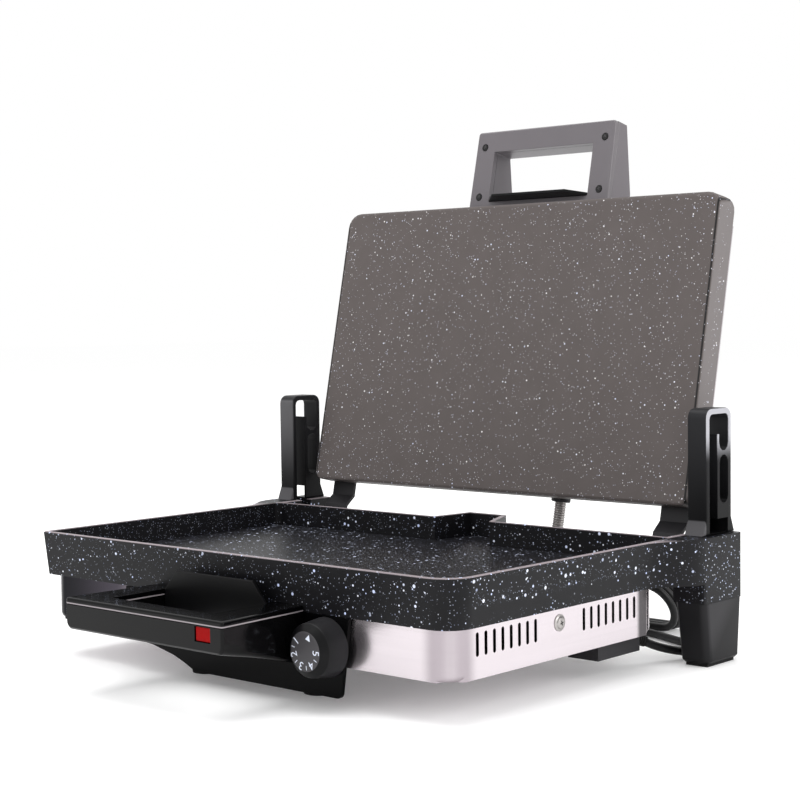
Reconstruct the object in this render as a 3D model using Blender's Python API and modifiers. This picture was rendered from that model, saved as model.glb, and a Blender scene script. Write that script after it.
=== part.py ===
"""Countertop sandwich maker with a granite coated tray, a lid that floats on two posts, and a mains cord.

Metres, +Z up. The handle side is the front (-Y) and the table is at z = 0. The lid is modelled fully open,
leaning back on its stop. Y is counted from the front rim of the tray while the pieces are made, and the
root empty then centres the whole object on the origin.
"""

import math

import bmesh
import bpy
from mathutils import Matrix, Vector
from mathutils.geometry import interpolate_bezier

# Clearances, overruns and facets
FIT_GAP = 0.0003
CUT_OVERRUN = 0.003
MERGE_DISTANCE = 0.00001
ARC_STEPS = 5
ROUND_STEPS = 24
SMALL_ROUND_STEPS = 12
SMOOTH_ANGLE = math.radians(40)
EDGE_SHARES = (0.0, 0.5, 1.0)

# Tray casting
RIM_HEIGHT = 0.0950
TRAY_HALF_WIDTH = 0.2050
TRAY_DEPTH = 0.2520
TRAY_WIDE_CORNER = 0.0220
TRAY_TIGHT_CORNER = 0.0025
TRAY_REAR_CORNER = 0.0055
TRAY_WALL = 0.0035
TRAY_REAR_WALL = 0.0030
RIM_EDGE = 0.0008
TRAY_WELL = 0.0190
TRAY_FLOOR = 0.0050
SKIRT_HEIGHT = 0.0330
SKIRT_DRAFT = 0.0025
SKIRT_WALL = 0.0027
NOTCH_MOUTH_LEFT = -0.0245
NOTCH_MOUTH_RIGHT = 0.0375
NOTCH_BACK_LEFT = -0.0188
NOTCH_BACK_RIGHT = 0.0190
NOTCH_REACH = 0.0380
NOTCH_WALL = 0.0025
FLARE_LENGTH = 0.0420
FLARE_STEPS = 6

# Ears that carry the posts and the legs
EAR_OVERHANG = 0.0195
EAR_UNDERLAP = 0.0084
EAR_SETBACK = 0.0050
EAR_LENGTH = 0.0520
EAR_CORNER = 0.0030
SOCKET_DEPTH = 0.0475
SOCKET_WALL = 0.0035
SOCKET_HEIGHT = 0.0223
LUG_LENGTH = 0.0150
LUG_DROP = 0.0500
LUG_WIDTH = 0.0090

# Steel base pan
PAN_SIDE_INSET = 0.0058
PAN_FRONT = 0.0055
PAN_REAR_INSET = 0.0186
PAN_BOTTOM = 0.0665
PAN_CORNER = 0.0130
PAN_EDGE = 0.0045
PAN_WALL = 0.0010
PAN_STRIPS = 8
PAN_ROWS = 5
VENT_LENGTH = 0.0155
VENT_WIDTH = 0.0030
VENT_PITCH = 0.0086
VENT_COUNT = 8
VENT_DROP = 0.0445
VENT_ROUND_SHARE = 0.45
VENT_STARTS = (0.0310, 0.1450)
SIDE_SCREW_Y = 0.1174
SIDE_SCREW_DROP = 0.0430
SIDE_SCREW_HEAD = 0.0058

# Hinge pins and their posts
HINGE_DROP = 0.01462
PIN_RADIUS = 0.0048
PIN_LENGTH = 0.0430
PIN_REACH = 0.0105
POST_UNDERLAP = 0.0025
POST_WIDTH = 0.0162
POST_SETBACK = 0.01233
POST_LENGTH = 0.0344
POST_HEIGHT = 0.0920
POST_CORNER = 0.0070
POST_WALL = 0.0041
POST_FOOT_WALL = 0.0052
POST_SKIN = 0.0015
POST_FLARE = 0.0046
POST_FLARE_HEIGHT = 0.0115
CHANNEL_PLAY = 0.0007
DIVIDER_WIDTH = 0.0023
DIVIDER_HEIGHT = 0.0730
POCKET_BOTTOM = 0.0606
OVAL_LOW = 0.0224
OVAL_HIGH = 0.0580
OVAL_RADIUS = 0.0058
POST_WINDOW_LOW = 0.0012
POST_WINDOW_HIGH = 0.0115
POST_EDGE = 0.0012
POST_SCREW_INSET = 0.0021
POST_SCREW_BITE = 0.0050

# Legs and feet
LEG_OUTER_INSET = 0.0008
LEG_INNER_INSET = 0.0020
LEG_TAPER = 0.0015
LEG_TOP_FRONT = 0.0018
LEG_BOTTOM_FRONT = 0.0090
LEG_BOTTOM_REAR = 0.0012
LEG_CORNER = 0.0030
LEG_FRONT_CORNER = 0.0060
LEG_SPIGOT = 0.0160
PAD_HEIGHT = 0.0020
PAD_INSET = 0.0028
FRONT_FOOT_X = 0.0570
FRONT_FOOT_Y = 0.0350
FRONT_FOOT_RADIUS = 0.0115
FRONT_FOOT_TOP_RADIUS = 0.0140

# Front panel, thermostat and knob
PANEL_FRONT = 0.0020
PANEL_THICKNESS = 0.0030
PANEL_RIGHT = 0.1085
PANEL_LEAN = 0.0075
PANEL_BOTTOM = 0.0870
PANEL_CORNER = 0.0040
PANEL_STEP_X = 0.0340
PANEL_SHOULDER_X = 0.0790
PANEL_SHOULDER_DROP = 0.0732
PANEL_LEFT_DROP = 0.0700
PANEL_CURVE_SHARES = (0.5, 0.75)
PANEL_CURVE_POWER = 1.5
KNOB_X = 0.0957
KNOB_DROP = 0.0540
KNOB_BASE_RADIUS = 0.0199
KNOB_RADIUS = 0.0180
KNOB_FACE_RADIUS = 0.0133
KNOB_LENGTH = 0.0205
KNOB_CHAMFER = 0.0043
KNOB_STEPS = 36
KNOB_BORE_DEPTH = 0.0150
SHAFT_RADIUS = 0.0030
SHAFT_COLLAR = 0.0050
SHAFT_SEAT = 0.0140
THERMOSTAT_NECK = 0.0060
THERMOSTAT_SIZE = (0.0300, 0.0240, 0.0220)

# Front handle
GRIP_HALF = 0.0515
HANDLE_REACH = 0.0750
HANDLE_FRONT_SIDE = 0.0278
HANDLE_REAR_SIDE = 0.0235
HANDLE_TOP_DROP = 0.0285
HANDLE_CAP = 0.0045
HANDLE_TIP_DEPTH = 0.0215
HANDLE_ROOT_DEPTH = 0.0400
HANDLE_REAR = 0.0017
HANDLE_CORNER = 0.0020
HANDLE_UNDER_EDGE = 0.0040
HANDLE_WALL = 0.0028
HANDLE_EDGE = 0.0015
HANDLE_TIP_EDGE = 0.0012
HANDLE_BULGE = 0.0010
HANDLE_RING_SHARES = (0.02, 0.35, 0.62, 0.8, 1.0)
HANDLE_SCREW_SIDE = 0.0110
HANDLE_SCREW_DROP = 0.0520
FRONT_SCREW_LENGTH = 0.0150
GRIP_BAR = 0.0180
GRIP_REAR_BAR = 0.0092
GRIP_CORNER = 0.0008
GUARD_THICKNESS = 0.0023
GUARD_TOP_INSET = 0.0130
GUARD_RISE = 0.0142
GUARD_ROOT = 0.0100
LENS_SIDE = 0.0093
LENS_SIZE = 0.0140
LENS_DROP = 0.0386
LENS_HEIGHT = 0.0093
LENS_DEPTH = 0.0060
LENS_INSET = 0.0008
LAMP_RADIUS = 0.0031

# Lid plate and cover, measured along the lid from its hinge edge and back from its cooking face
OPEN_ANGLE = math.radians(102.24)
LID_EDGE_TO_PIN = 0.03403
PIN_BEHIND_FACE = 0.00138
PLATE_SIDE_PLAY = 0.0130
PLATE_DEPTH_PLAY = 0.0125
PLATE_THICKNESS = 0.0170
PLATE_DRAFT = 0.0025
PLATE_CORNER = 0.0080
PLATE_TOP_CORNER = 0.0130
PLATE_EDGE = 0.0020
PLATE_EDGE_SHARE = 0.3
PLATE_DRAFT_SHARE = 0.1
PLATE_FACE_WALL = 0.0080
PLATE_RIM = 0.0050
BOSS_LENGTH = 0.0360
COVER_SIDE_INSET = 0.0060
COVER_LOW = 0.0030
COVER_HIGH_INSET = 0.0035
COVER_DEPTH = 0.0227
COVER_DRAFT = 0.0050
COVER_CORNER = 0.0140
COVER_EDGE = 0.0055
COVER_WALL = 0.0010

# Hinge arms
ARM_SIDE_INSET = 0.0328
ARM_WIDTH = 0.0245
ARM_THICKNESS = 0.0026
ARM_TAB = 0.0330
ARM_BENDS = (
    (-0.0115, 0.0000),
    (-0.0206, 0.0075),
    (-0.0268, 0.0080),
    (-0.0334, 0.0100),
)
BARREL_RADIUS = 0.0085
BARREL_PLAY = 0.0006
ARM_SCREW_TAB = 0.0200

# Lid handle, whose places along the lid are counted from the cover's far edge
LID_HANDLE_SIDE = 0.0200
LID_HANDLE_ROOT_SIDE = 0.0210
LID_HANDLE_REACH = 0.0755
LID_HANDLE_FACE = 0.0220
LID_HANDLE_CAP = 0.0047
LID_HANDLE_TIP_BACK = 0.0390
LID_HANDLE_ROOT_BACK = 0.0550
LID_HANDLE_ROOT = 0.0210
LID_HANDLE_FOOT = 0.0380
LID_HANDLE_FOOT_TOE = 0.0050
LID_HANDLE_CORNER = 0.0030
LID_GRIP_START = 0.0130
LID_GRIP_DEPTH = 0.0440
LID_GUARD_FACE = 0.0080
LID_GUARD_TAIL = 0.0080
LID_GUARD_INSET = 0.0140
HANDLE_SCREW_NEAR = 0.0178
HANDLE_SCREW_FAR = 0.0616
HANDLE_FOOT_SCREW = 0.0240
LID_HANDLE_SCREW = 0.0110

# Heating elements
ELEMENT_RADIUS = 0.0032
ELEMENT_HALF = 0.1250
ELEMENT_BEND = 0.0300
LOWER_ELEMENT_FRONT = 0.0500
LOWER_ELEMENT_REAR = 0.1900
UPPER_ELEMENT_LOW = 0.0620
UPPER_ELEMENT_HIGH = 0.1820

# Screws
SCREW_RADIUS = 0.0019
SCREW_HEAD_RADIUS = 0.0030
SCREW_HEAD = 0.0018
SCREW_LENGTH = 0.0090
SCREW_PLAY = 0.0003
SCREW_STEPS = 10

# Cord entry and strain relief
ENTRY_SIDE_INSET = 0.0262
ENTRY_REAR_INSET = 0.0019
ENTRY_SIZE = (0.0260, 0.0515, 0.0140)
ENTRY_WALL = 0.0022
TERMINAL_SIZE = (0.0160, 0.0260, 0.0080)
FUSE_RADIUS = 0.0021
FUSE_LENGTH = 0.0260
CORD_HOLE_SHARE = 0.5
CORD_DIAMETER = 0.0062
RELIEF_ROOT_RADIUS = 0.0062
RELIEF_TIP_RADIUS = 0.0040
RELIEF_BEND = 0.0480
RELIEF_SWEEP = 26.0
RELIEF_ASIDE_SHARE = 0.6
RELIEF_RINGS = 16
RELIEF_GROOVE_SHARE = 0.86

# Cord, hank and plug, with x and y counted from the middle of the strain relief's root
CORD_REST = 0.0034
HANK_FIRST_TURN = 0.216
HANK_LAST_TURN = 3.30
HANK_FOLD_RADIUS = 0.0187
HANK_RUN = 0.0940
HANK_PITCH = 0.0078
HANK_LEAN = math.tan(math.radians(30.0))
HANK_LEFT = -0.1515
HANK_SETBACK = 0.1174
HANK_POINTS = 34
PLUG_NECK_X = -0.2180
PLUG_SETBACK = 0.1463
PLUG_RADIUS = 0.0180
PLUG_LENGTH = 0.0360
PLUG_NECK = 0.0140
PLUG_NECK_RADIUS = 0.0068
PLUG_PIN_RADIUS = 0.0024
PLUG_PIN_LENGTH = 0.0190
PLUG_PIN_SPACING = 0.0190
PLUG_GRIP_SHARE = 0.4
PLUG_TIP_SHARE = 0.8
PLUG_WAIST_SHARE = 0.62
CORD_STEP = 0.0150
CORD_TO_HANK = (
    (0.0072, 0.0335, 0.0110),
    (0.0120, 0.0420, 0.0082),
    (0.0160, 0.0515, 0.0060),
    (0.0180, 0.0620, 0.0045),
    (0.0165, 0.0730, 0.0036),
    (0.0105, 0.0825, 0.0034),
    (0.0000, 0.0895, 0.0034),
    (-0.0130, 0.0945, 0.0034),
    (-0.0270, 0.1005, 0.0034),
    (-0.0404, 0.1065, 0.0034),
    (-0.0534, 0.1110, 0.0034),
    (-0.0730, 0.1160, 0.0034),
    (-0.0910, 0.1225, 0.0034),
    (-0.1050, 0.1267, 0.0034),
)
HANK_TO_PLUG = (
    (-0.1650, 0.1543, 0.0034),
    (-0.1753, 0.1533, 0.0051),
    (-0.1855, 0.1507, 0.0109),
    (-0.1958, 0.1478, 0.0166),
    (-0.2065, 0.1463, 0.0183),
)

# Conduit that feeds the lid, with its bends counted from the hinge's axis at rest
CONDUIT_X = 0.0570
CONDUIT_RADIUS = 0.0048
CONDUIT_GROOVE_SHARE = 0.84
CONDUIT_BORE = 0.0028
CONDUIT_RIBS = 56
CONDUIT_BEHIND_FACE = 0.0290
CONDUIT_EXIT_DROP = 0.0450
CONDUIT_STEP = 0.0040
GLAND_RADIUS = 0.0078
GLAND_NECK_RADIUS = 0.0052
GLAND_LENGTH = 0.0045
GLAND_NECK = 0.0050
CONDUIT_BENDS = (
    (-0.0295, -0.0311),
    (-0.0135, -0.0321),
    (0.0045, -0.0284),
    (0.0205, -0.0154),
    (0.0287, 0.0036),
    (0.0320, 0.0166),
)

# Places that follow from the sizes above
RIM = RIM_HEIGHT
FLOOR = RIM_HEIGHT - TRAY_WELL
UNDERSIDE = FLOOR - TRAY_FLOOR
SKIRT = RIM_HEIGHT - SKIRT_HEIGHT
PAN_FLOOR = RIM_HEIGHT - PAN_BOTTOM
PAN_HALF_WIDTH = TRAY_HALF_WIDTH - PAN_SIDE_INSET
PAN_REAR = TRAY_DEPTH - PAN_REAR_INSET
EAR_OUTER = TRAY_HALF_WIDTH + EAR_OVERHANG
EAR_INNER = TRAY_HALF_WIDTH - EAR_UNDERLAP
EAR_FRONT = TRAY_DEPTH + EAR_SETBACK
EAR_REAR = EAR_FRONT + EAR_LENGTH
SOCKET = (EAR_INNER + SOCKET_WALL, EAR_OUTER - SOCKET_WALL, EAR_FRONT + SOCKET_WALL, EAR_REAR - SOCKET_WALL)
POST_INNER = TRAY_HALF_WIDTH - POST_UNDERLAP
POST_OUTER = POST_INNER + POST_WIDTH
POST_FRONT = EAR_FRONT + POST_SETBACK
POST_REAR = POST_FRONT + POST_LENGTH
HINGE_Y = POST_FRONT + POST_WALL + PIN_RADIUS + FIT_GAP
PIVOT_Z = RIM_HEIGHT - HINGE_DROP
PIN_OUTER = POST_INNER + PIN_REACH
PIN_INNER = PIN_OUTER - PIN_LENGTH
BARREL_OUTER = EAR_INNER - BARREL_PLAY
POST_SCREW_X = POST_INNER + POST_WIDTH / 2
POST_SCREW_Y = POST_REAR - POST_SCREW_INSET
POST_SCREW_Z = RIM - SOCKET_HEIGHT - SCREW_HEAD
POST_SCREW_LENGTH = SCREW_HEAD + SOCKET_HEIGHT + POST_SCREW_BITE
KNOB_Z = RIM - KNOB_DROP
LENS_X = GRIP_HALF + LENS_SIDE
LENS_Z = RIM - LENS_DROP
HANDLE_FRONT_HALF = GRIP_HALF + HANDLE_FRONT_SIDE
HANDLE_REAR_HALF = GRIP_HALF + HANDLE_REAR_SIDE
HANDLE_SCREW_X = GRIP_HALF + HANDLE_SCREW_SIDE
GRIP_FRONT = -HANDLE_REACH + GRIP_BAR
GRIP_REAR = HANDLE_REAR - GRIP_REAR_BAR
CAP_LOW = RIM - HANDLE_TOP_DROP - HANDLE_CAP
PLATE_HALF = TRAY_HALF_WIDTH - PLATE_SIDE_PLAY
PLATE_LENGTH = TRAY_DEPTH - PLATE_DEPTH_PLAY
COVER_HALF = PLATE_HALF - COVER_SIDE_INSET
COVER_HIGH = PLATE_LENGTH - COVER_HIGH_INSET
COVER_MOUTH = PLATE_THICKNESS + FIT_GAP
ARM_INNER = PLATE_HALF - ARM_SIDE_INSET
ARM_MIDDLE = -COVER_MOUTH - FIT_GAP - ARM_THICKNESS / 2
BOSS_INNER = ARM_INNER - PLATE_RIM
LID_HANDLE_END = COVER_HIGH + LID_HANDLE_REACH
LID_HANDLE_HALF = GRIP_HALF + LID_HANDLE_SIDE
LID_GRIP_LOW = COVER_HIGH + LID_GRIP_START
CORD_RADIUS = CORD_DIAMETER / 2
ENTRY_X = PAN_HALF_WIDTH - ENTRY_SIDE_INSET
ENTRY_REAR = PAN_REAR - ENTRY_REAR_INSET
ENTRY_FRONT = ENTRY_REAR - ENTRY_SIZE[1]
ENTRY_TOP = PAN_FLOOR - FIT_GAP
RELIEF_RISE = ENTRY_TOP - ENTRY_SIZE[2] / 2
CORD_HOLE = (ENTRY_X, ENTRY_FRONT + ENTRY_SIZE[1] * CORD_HOLE_SHARE, PAN_FLOOR)
HANK_RISE = HANK_FOLD_RADIUS + CORD_REST
GROMMET_SEAT = (CONDUIT_X, PAN_REAR, RIM - CONDUIT_EXIT_DROP)


def clear_scene():
    for old in list(bpy.data.objects):
        bpy.data.objects.remove(old, do_unlink=True)


def collection(name):
    made = bpy.data.collections.new(name)
    bpy.context.scene.collection.children.link(made)
    return made


def material(name, colour, roughness, metallic=0.0):
    made = bpy.data.materials.new(name)
    made.use_nodes = True
    shader = made.node_tree.nodes["Principled BSDF"]
    shader.inputs["Base Color"].default_value = (*colour, 1.0)
    shader.inputs["Roughness"].default_value = roughness
    shader.inputs["Metallic"].default_value = metallic
    return made


# Frames and collections

clear_scene()
PARTS = collection("sandwich_maker")
CUTTERS = collection("cutters")


def empty(name, parent=None, location=(0, 0, 0), tilt=0.0):
    made = bpy.data.objects.new(name, None)
    made.empty_display_size = TRAY_WALL
    PARTS.objects.link(made)
    made.parent = parent
    made.location = location
    made.rotation_euler = (tilt, 0, 0)
    return made


ROOT = empty("sandwich_maker_root")
FLOAT = empty("lid_float_frame", ROOT, (0, HINGE_Y, PIVOT_Z))
HINGE = empty("lid_hinge_frame", FLOAT, tilt=math.pi - OPEN_ANGLE)
LID = empty("lid_frame", HINGE, (0, LID_EDGE_TO_PIN, PIN_BEHIND_FACE))
KNOB = empty("knob_frame", ROOT, (KNOB_X, PANEL_FRONT, RIM - KNOB_DROP))

FINISHES = {
    "granite_black": material("granite_black", (0.012, 0.012, 0.014), 0.45),
    "granite_brown": material("granite_brown", (0.115, 0.095, 0.088), 0.5),
    "brushed_steel": material("brushed_steel", (0.72, 0.68, 0.68), 0.28, 1.0),
    "gloss_plastic": material("gloss_plastic", (0.008, 0.008, 0.009), 0.15),
    "satin_plastic": material("satin_plastic", (0.014, 0.014, 0.016), 0.4),
    "handle_plastic": material("handle_plastic", (0.05, 0.045, 0.05), 0.35),
    "plated_steel": material("plated_steel", (0.6, 0.58, 0.56), 0.3, 1.0),
    "black_screw": material("black_screw", (0.01, 0.01, 0.01), 0.4, 0.6),
    "red_lens": material("red_lens", (0.5, 0.006, 0.006), 0.2),
    "rubber": material("rubber", (0.012, 0.012, 0.012), 0.75),
    "cord_pvc": material("cord_pvc", (0.01, 0.01, 0.01), 0.45),
    "ceramic": material("ceramic", (0.75, 0.72, 0.66), 0.6),
    "element_steel": material("element_steel", (0.25, 0.24, 0.22), 0.45, 0.9),
}


# Building helpers


def register(obj, finish, parent, smooth=False):
    if obj.name not in PARTS.objects and obj.name not in CUTTERS.objects:
        PARTS.objects.link(obj)
    obj.parent = parent
    if finish:
        obj.data.materials.clear()
        obj.data.materials.append(FINISHES[finish])
    if smooth:
        obj.data.shade_smooth()
        obj.data.set_sharp_from_angle(angle=SMOOTH_ANGLE)
    return obj


def mesh_object(name, bm, finish, parent, smooth=False):
    mesh = bpy.data.meshes.new(name)
    bmesh.ops.recalc_face_normals(bm, faces=bm.faces)
    bm.to_mesh(mesh)
    bm.free()
    return register(bpy.data.objects.new(name, mesh), finish, parent, smooth)


def box_into(bm, low, high):
    low, high = Vector(low), Vector(high)
    place = Matrix.Translation((low + high) / 2) @ Matrix.Diagonal((*(high - low), 1))
    return bmesh.ops.create_cube(bm, size=1, matrix=place)["verts"]


def box(name, low, high, finish, parent=None, edge=0.0):
    bm = bmesh.new()
    box_into(bm, low, high)
    if edge:
        bmesh.ops.bevel(bm, geom=bm.edges[:], offset=edge, segments=2, profile=0.5, affect="EDGES")
    return mesh_object(name, bm, finish, parent or ROOT)


def axis_matrix(start, end):
    start, end = Vector(start), Vector(end)
    turn = (end - start).to_track_quat("Z", "Y").to_matrix().to_4x4()
    return Matrix.Translation((start + end) / 2) @ turn, (end - start).length


def rod_into(bm, start, end, radius, end_radius=None, steps=SMALL_ROUND_STEPS):
    place, length = axis_matrix(start, end)
    last = radius if end_radius is None else end_radius
    bmesh.ops.create_cone(bm, cap_ends=True, segments=steps, radius1=radius, radius2=last,
                          depth=length, matrix=place)


def rods(name, ends, radius, finish, parent=None, steps=SMALL_ROUND_STEPS):
    bm = bmesh.new()
    for start, end in ends:
        rod_into(bm, start, end, radius, steps=steps)
    return mesh_object(name, bm, finish, parent or ROOT, smooth=True)


def turned(name, profile, start, direction, finish, parent=None, steps=ROUND_STEPS):
    """Turn (radius, distance) pairs, listed from the far end back to the start, about a line."""
    bm = bmesh.new()
    verts = [bm.verts.new((radius, 0, along)) for radius, along in profile]
    for one, two in zip(verts, verts[1:]):
        bm.edges.new((one, two))
    mesh = bpy.data.meshes.new(name)
    bm.to_mesh(mesh)
    bm.free()
    obj = register(bpy.data.objects.new(name, mesh), finish, parent or ROOT)
    obj.location = start
    obj.rotation_euler = Vector(direction).to_track_quat("Z", "Y").to_euler()
    screw = obj.modifiers.new("turn", "SCREW")
    screw.steps = steps
    screw.render_steps = steps
    screw.use_merge_vertices = True
    screw.merge_threshold = MERGE_DISTANCE
    screw.use_smooth_shade = True
    return obj


def arc(centre, radius, first, last, steps=ARC_STEPS):
    """Points round a centre, with the angles in degrees."""
    points = []
    for step in range(steps + 1):
        angle = math.radians(first + (last - first) * step / steps)
        points.append((centre[0] + radius * math.cos(angle), centre[1] + radius * math.sin(angle)))
    return points


def rounded(x0, x1, y0, y1, radius, steps=ARC_STEPS):
    return (arc((x1 - radius, y0 + radius), radius, -90, 0, steps)
            + arc((x1 - radius, y1 - radius), radius, 0, 90, steps)
            + arc((x0 + radius, y1 - radius), radius, 90, 180, steps)
            + arc((x0 + radius, y0 + radius), radius, 180, 270, steps))


def both_sides(right_half):
    """Close an outline from its right half, which runs from front to rear."""
    return right_half + [(-x, y) for x, y in reversed(right_half)]


PLANES = {
    "XY": (0, 0, 0),
    "YZ": (math.pi / 2, 0, math.pi / 2),
    "XZ": (math.pi / 2, 0, 0),
}


def slab(name, outlines, low, high, plane, finish, parent=None, smooth=False):
    """Fill flat outlines and carry them from low to high along the axis square to the plane."""
    curve = bpy.data.curves.new(name, "CURVE")
    curve.dimensions = "2D"
    curve.fill_mode = "BOTH"
    curve.extrude = (high - low) / 2
    for outline in outlines:
        spline = curve.splines.new("POLY")
        spline.points.add(len(outline) - 1)
        for point, (x, y) in zip(spline.points, outline):
            point.co = (x, y, 0, 1)
        spline.use_cyclic_u = True
    shape = bpy.data.objects.new(name, curve)
    PARTS.objects.link(shape)
    middle = (low + high) / 2
    shape.rotation_euler = PLANES[plane]
    shape.location = {"XY": (0, 0, middle), "YZ": (middle, 0, 0), "XZ": (0, middle, 0)}[plane]
    return solid_from_curve(shape, finish, parent or ROOT, smooth)


def solid_from_curve(shape, finish, parent, smooth=False):
    name = shape.name
    bpy.context.view_layer.update()
    depsgraph = bpy.context.evaluated_depsgraph_get()
    mesh = bpy.data.meshes.new_from_object(shape.evaluated_get(depsgraph))
    place = shape.matrix_world.copy()
    bpy.data.objects.remove(shape, do_unlink=True)
    mesh.transform(place)
    bm = bmesh.new()
    bm.from_mesh(mesh)
    bpy.data.meshes.remove(mesh)
    bmesh.ops.remove_doubles(bm, verts=bm.verts, dist=MERGE_DISTANCE)
    return mesh_object(name, bm, finish, parent, smooth)


def placed(point, height, plane):
    """Give a flat outline's point its place in space."""
    x, y = point
    return {"XY": (x, y, height), "YZ": (height, x, y), "XZ": (x, height, y)}[plane]


def loft(name, rings, plane, finish, parent=None, smooth=False):
    """Join outlines of as many points at growing heights, for a piece that tapers."""
    bm = bmesh.new()
    loops = []
    for outline, height in rings:
        loops.append([bm.verts.new(placed(point, height, plane)) for point in outline])
    count = len(loops[0])
    for lower, upper in zip(loops, loops[1:]):
        for index in range(count):
            after = (index + 1) % count
            bm.faces.new((lower[index], lower[after], upper[after], upper[index]))
    bm.faces.new(loops[0])
    bm.faces.new(loops[-1])
    return mesh_object(name, bm, finish, parent or ROOT, smooth)


def prism(name, outline, low, high, plane, finish, parent=None, smooth=False):
    return loft(name, [(outline, low), (outline, high)], plane, finish, parent, smooth)


def shrunk(outline, distance):
    """Move each side of an anticlockwise outline inwards."""
    moved = []
    for index, point in enumerate(outline):
        before = Vector(point) - Vector(outline[index - 1])
        after = Vector(outline[(index + 1) % len(outline)]) - Vector(point)
        one = Vector((-before.y, before.x)).normalized()
        two = Vector((-after.y, after.x)).normalized()
        turn = one + two
        moved.append(tuple(Vector(point) + turn * (distance / (turn.dot(one)))))
    return moved


def soft_slab(name, outline, low, high, edge, plane, finish, parent=None, soft_ends=(True, True)):
    """Carry an outline from low to high with rounded edges at the ends that ask for them."""
    rings = []
    for share in EDGE_SHARES:
        angle = math.pi / 2 * share
        rings.append((edge * (1 - math.sin(angle)), edge * (1 - math.cos(angle))))
    lower = [(shrunk(outline, inwards), low + along) for inwards, along in rings]
    upper = [(shrunk(outline, inwards), high - along) for inwards, along in reversed(rings)]
    if not soft_ends[0]:
        lower = [(outline, low)]
    if not soft_ends[1]:
        upper = [(outline, high)]
    return loft(name, lower + upper, plane, finish, parent, smooth=True)


def mirrored(outline):
    return [(-x, y) for x, y in reversed(outline)]


def on_side(outline, side):
    return outline if side > 0 else mirrored(outline)


def span(side, inner, outer):
    """The lower and the upper x of a stretch on the right side, or of its mirror image."""
    return (inner, outer) if side > 0 else (-outer, -inner)


def ribbon(points, thickness):
    """Outline of a bent strip from its middle line."""
    runs = [(Vector(two) - Vector(one)).normalized() for one, two in zip(points, points[1:])]
    sides = ([], [])
    for point, before, after in zip(points, runs[:1] + runs, runs + runs[-1:]):
        turn = Vector((-before.y - after.y, before.x + after.x))
        reach = thickness / 2 / turn.dot(Vector((-before.y, before.x)))
        sides[0].append(tuple(Vector(point) - turn * reach))
        sides[1].append(tuple(Vector(point) + turn * reach))
    return sides[0] + sides[1][::-1]


def smooth_route(points, step):
    """Read a smooth curve through the chosen points, about one point a step."""
    spots = [Vector(point) for point in points]
    slopes = []
    for index in range(len(spots)):
        before = spots[max(index - 1, 0)]
        after = spots[min(index + 1, len(spots) - 1)]
        slopes.append((after - before).normalized())
    route = [spots[0]]
    for index, (one, two) in enumerate(zip(spots, spots[1:])):
        reach = (two - one).length / 3
        count = max(2, round((two - one).length / step) + 1)
        handles = (one, one + slopes[index] * reach, two - slopes[index + 1] * reach, two)
        route += interpolate_bezier(*handles, count)[1:]
    return route


def tube(name, route, radius, finish, parent=None, resolution=2, radii=None):
    curve = bpy.data.curves.new(name, "CURVE")
    curve.dimensions = "3D"
    curve.bevel_depth = radius
    curve.bevel_resolution = resolution
    curve.use_fill_caps = True
    spline = curve.splines.new("POLY")
    spline.points.add(len(route) - 1)
    for index, spot in enumerate(route):
        spline.points[index].co = (*spot, 1)
        spline.points[index].radius = radii[index] if radii else 1
    shape = bpy.data.objects.new(name, curve)
    PARTS.objects.link(shape)
    return solid_from_curve(shape, finish, parent or ROOT, smooth=True)


def as_cutter(obj):
    for home in list(obj.users_collection):
        home.objects.unlink(obj)
    CUTTERS.objects.link(obj)
    obj.hide_render = True
    obj.display_type = "WIRE"
    return obj


def boolean(obj, other, operation):
    step = obj.modifiers.new(other.name, "BOOLEAN")
    step.operation = operation
    step.solver = "EXACT"
    step.object = as_cutter(other)
    return obj


def cut(obj, other):
    return boolean(obj, other, "DIFFERENCE")


def join(obj, other):
    return boolean(obj, other, "UNION")


def pan_shell(name, outline, mouth, closed, edge, draft, wall, finish, parent=None):
    """A pressed sheet: flat bottom, drawn walls with a rounded edge, open at the mouth above it.

    Strips and rows keep its flat faces from falling into a few very long triangles."""
    drawn = shrunk(outline, draft)
    bm = bmesh.new()
    loops = []
    for ring, height in ((outline, mouth), (drawn, closed)):
        loops.append([bm.verts.new((x, y, height)) for x, y in ring])
    count = len(outline)
    for index in range(count):
        after = (index + 1) % count
        bm.faces.new((loops[1][index], loops[1][after], loops[0][after], loops[0][index]))
    base = bm.faces.new(loops[1][::-1])
    bmesh.ops.bevel(bm, geom=list(base.edges), offset=edge, segments=3, profile=0.5, affect="EDGES")
    for axis, count in ((0, PAN_STRIPS), (1, PAN_ROWS)):
        places = [point[axis] for point in outline]
        normal = Vector((axis == 0, axis == 1, 0))
        for step in range(1, count):
            spot = normal * (min(places) + (max(places) - min(places)) * step / count)
            geom = bm.verts[:] + bm.edges[:] + bm.faces[:]
            bmesh.ops.bisect_plane(bm, geom=geom, dist=MERGE_DISTANCE, plane_co=spot, plane_no=normal)
    mesh = bpy.data.meshes.new(name)
    bm.to_mesh(mesh)
    bm.free()
    obj = register(bpy.data.objects.new(name, mesh), finish, parent or ROOT, smooth=True)
    sheet = obj.modifiers.new("sheet", "SOLIDIFY")
    sheet.thickness = wall
    sheet.offset = -1
    sheet.use_even_offset = True
    return obj


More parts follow.
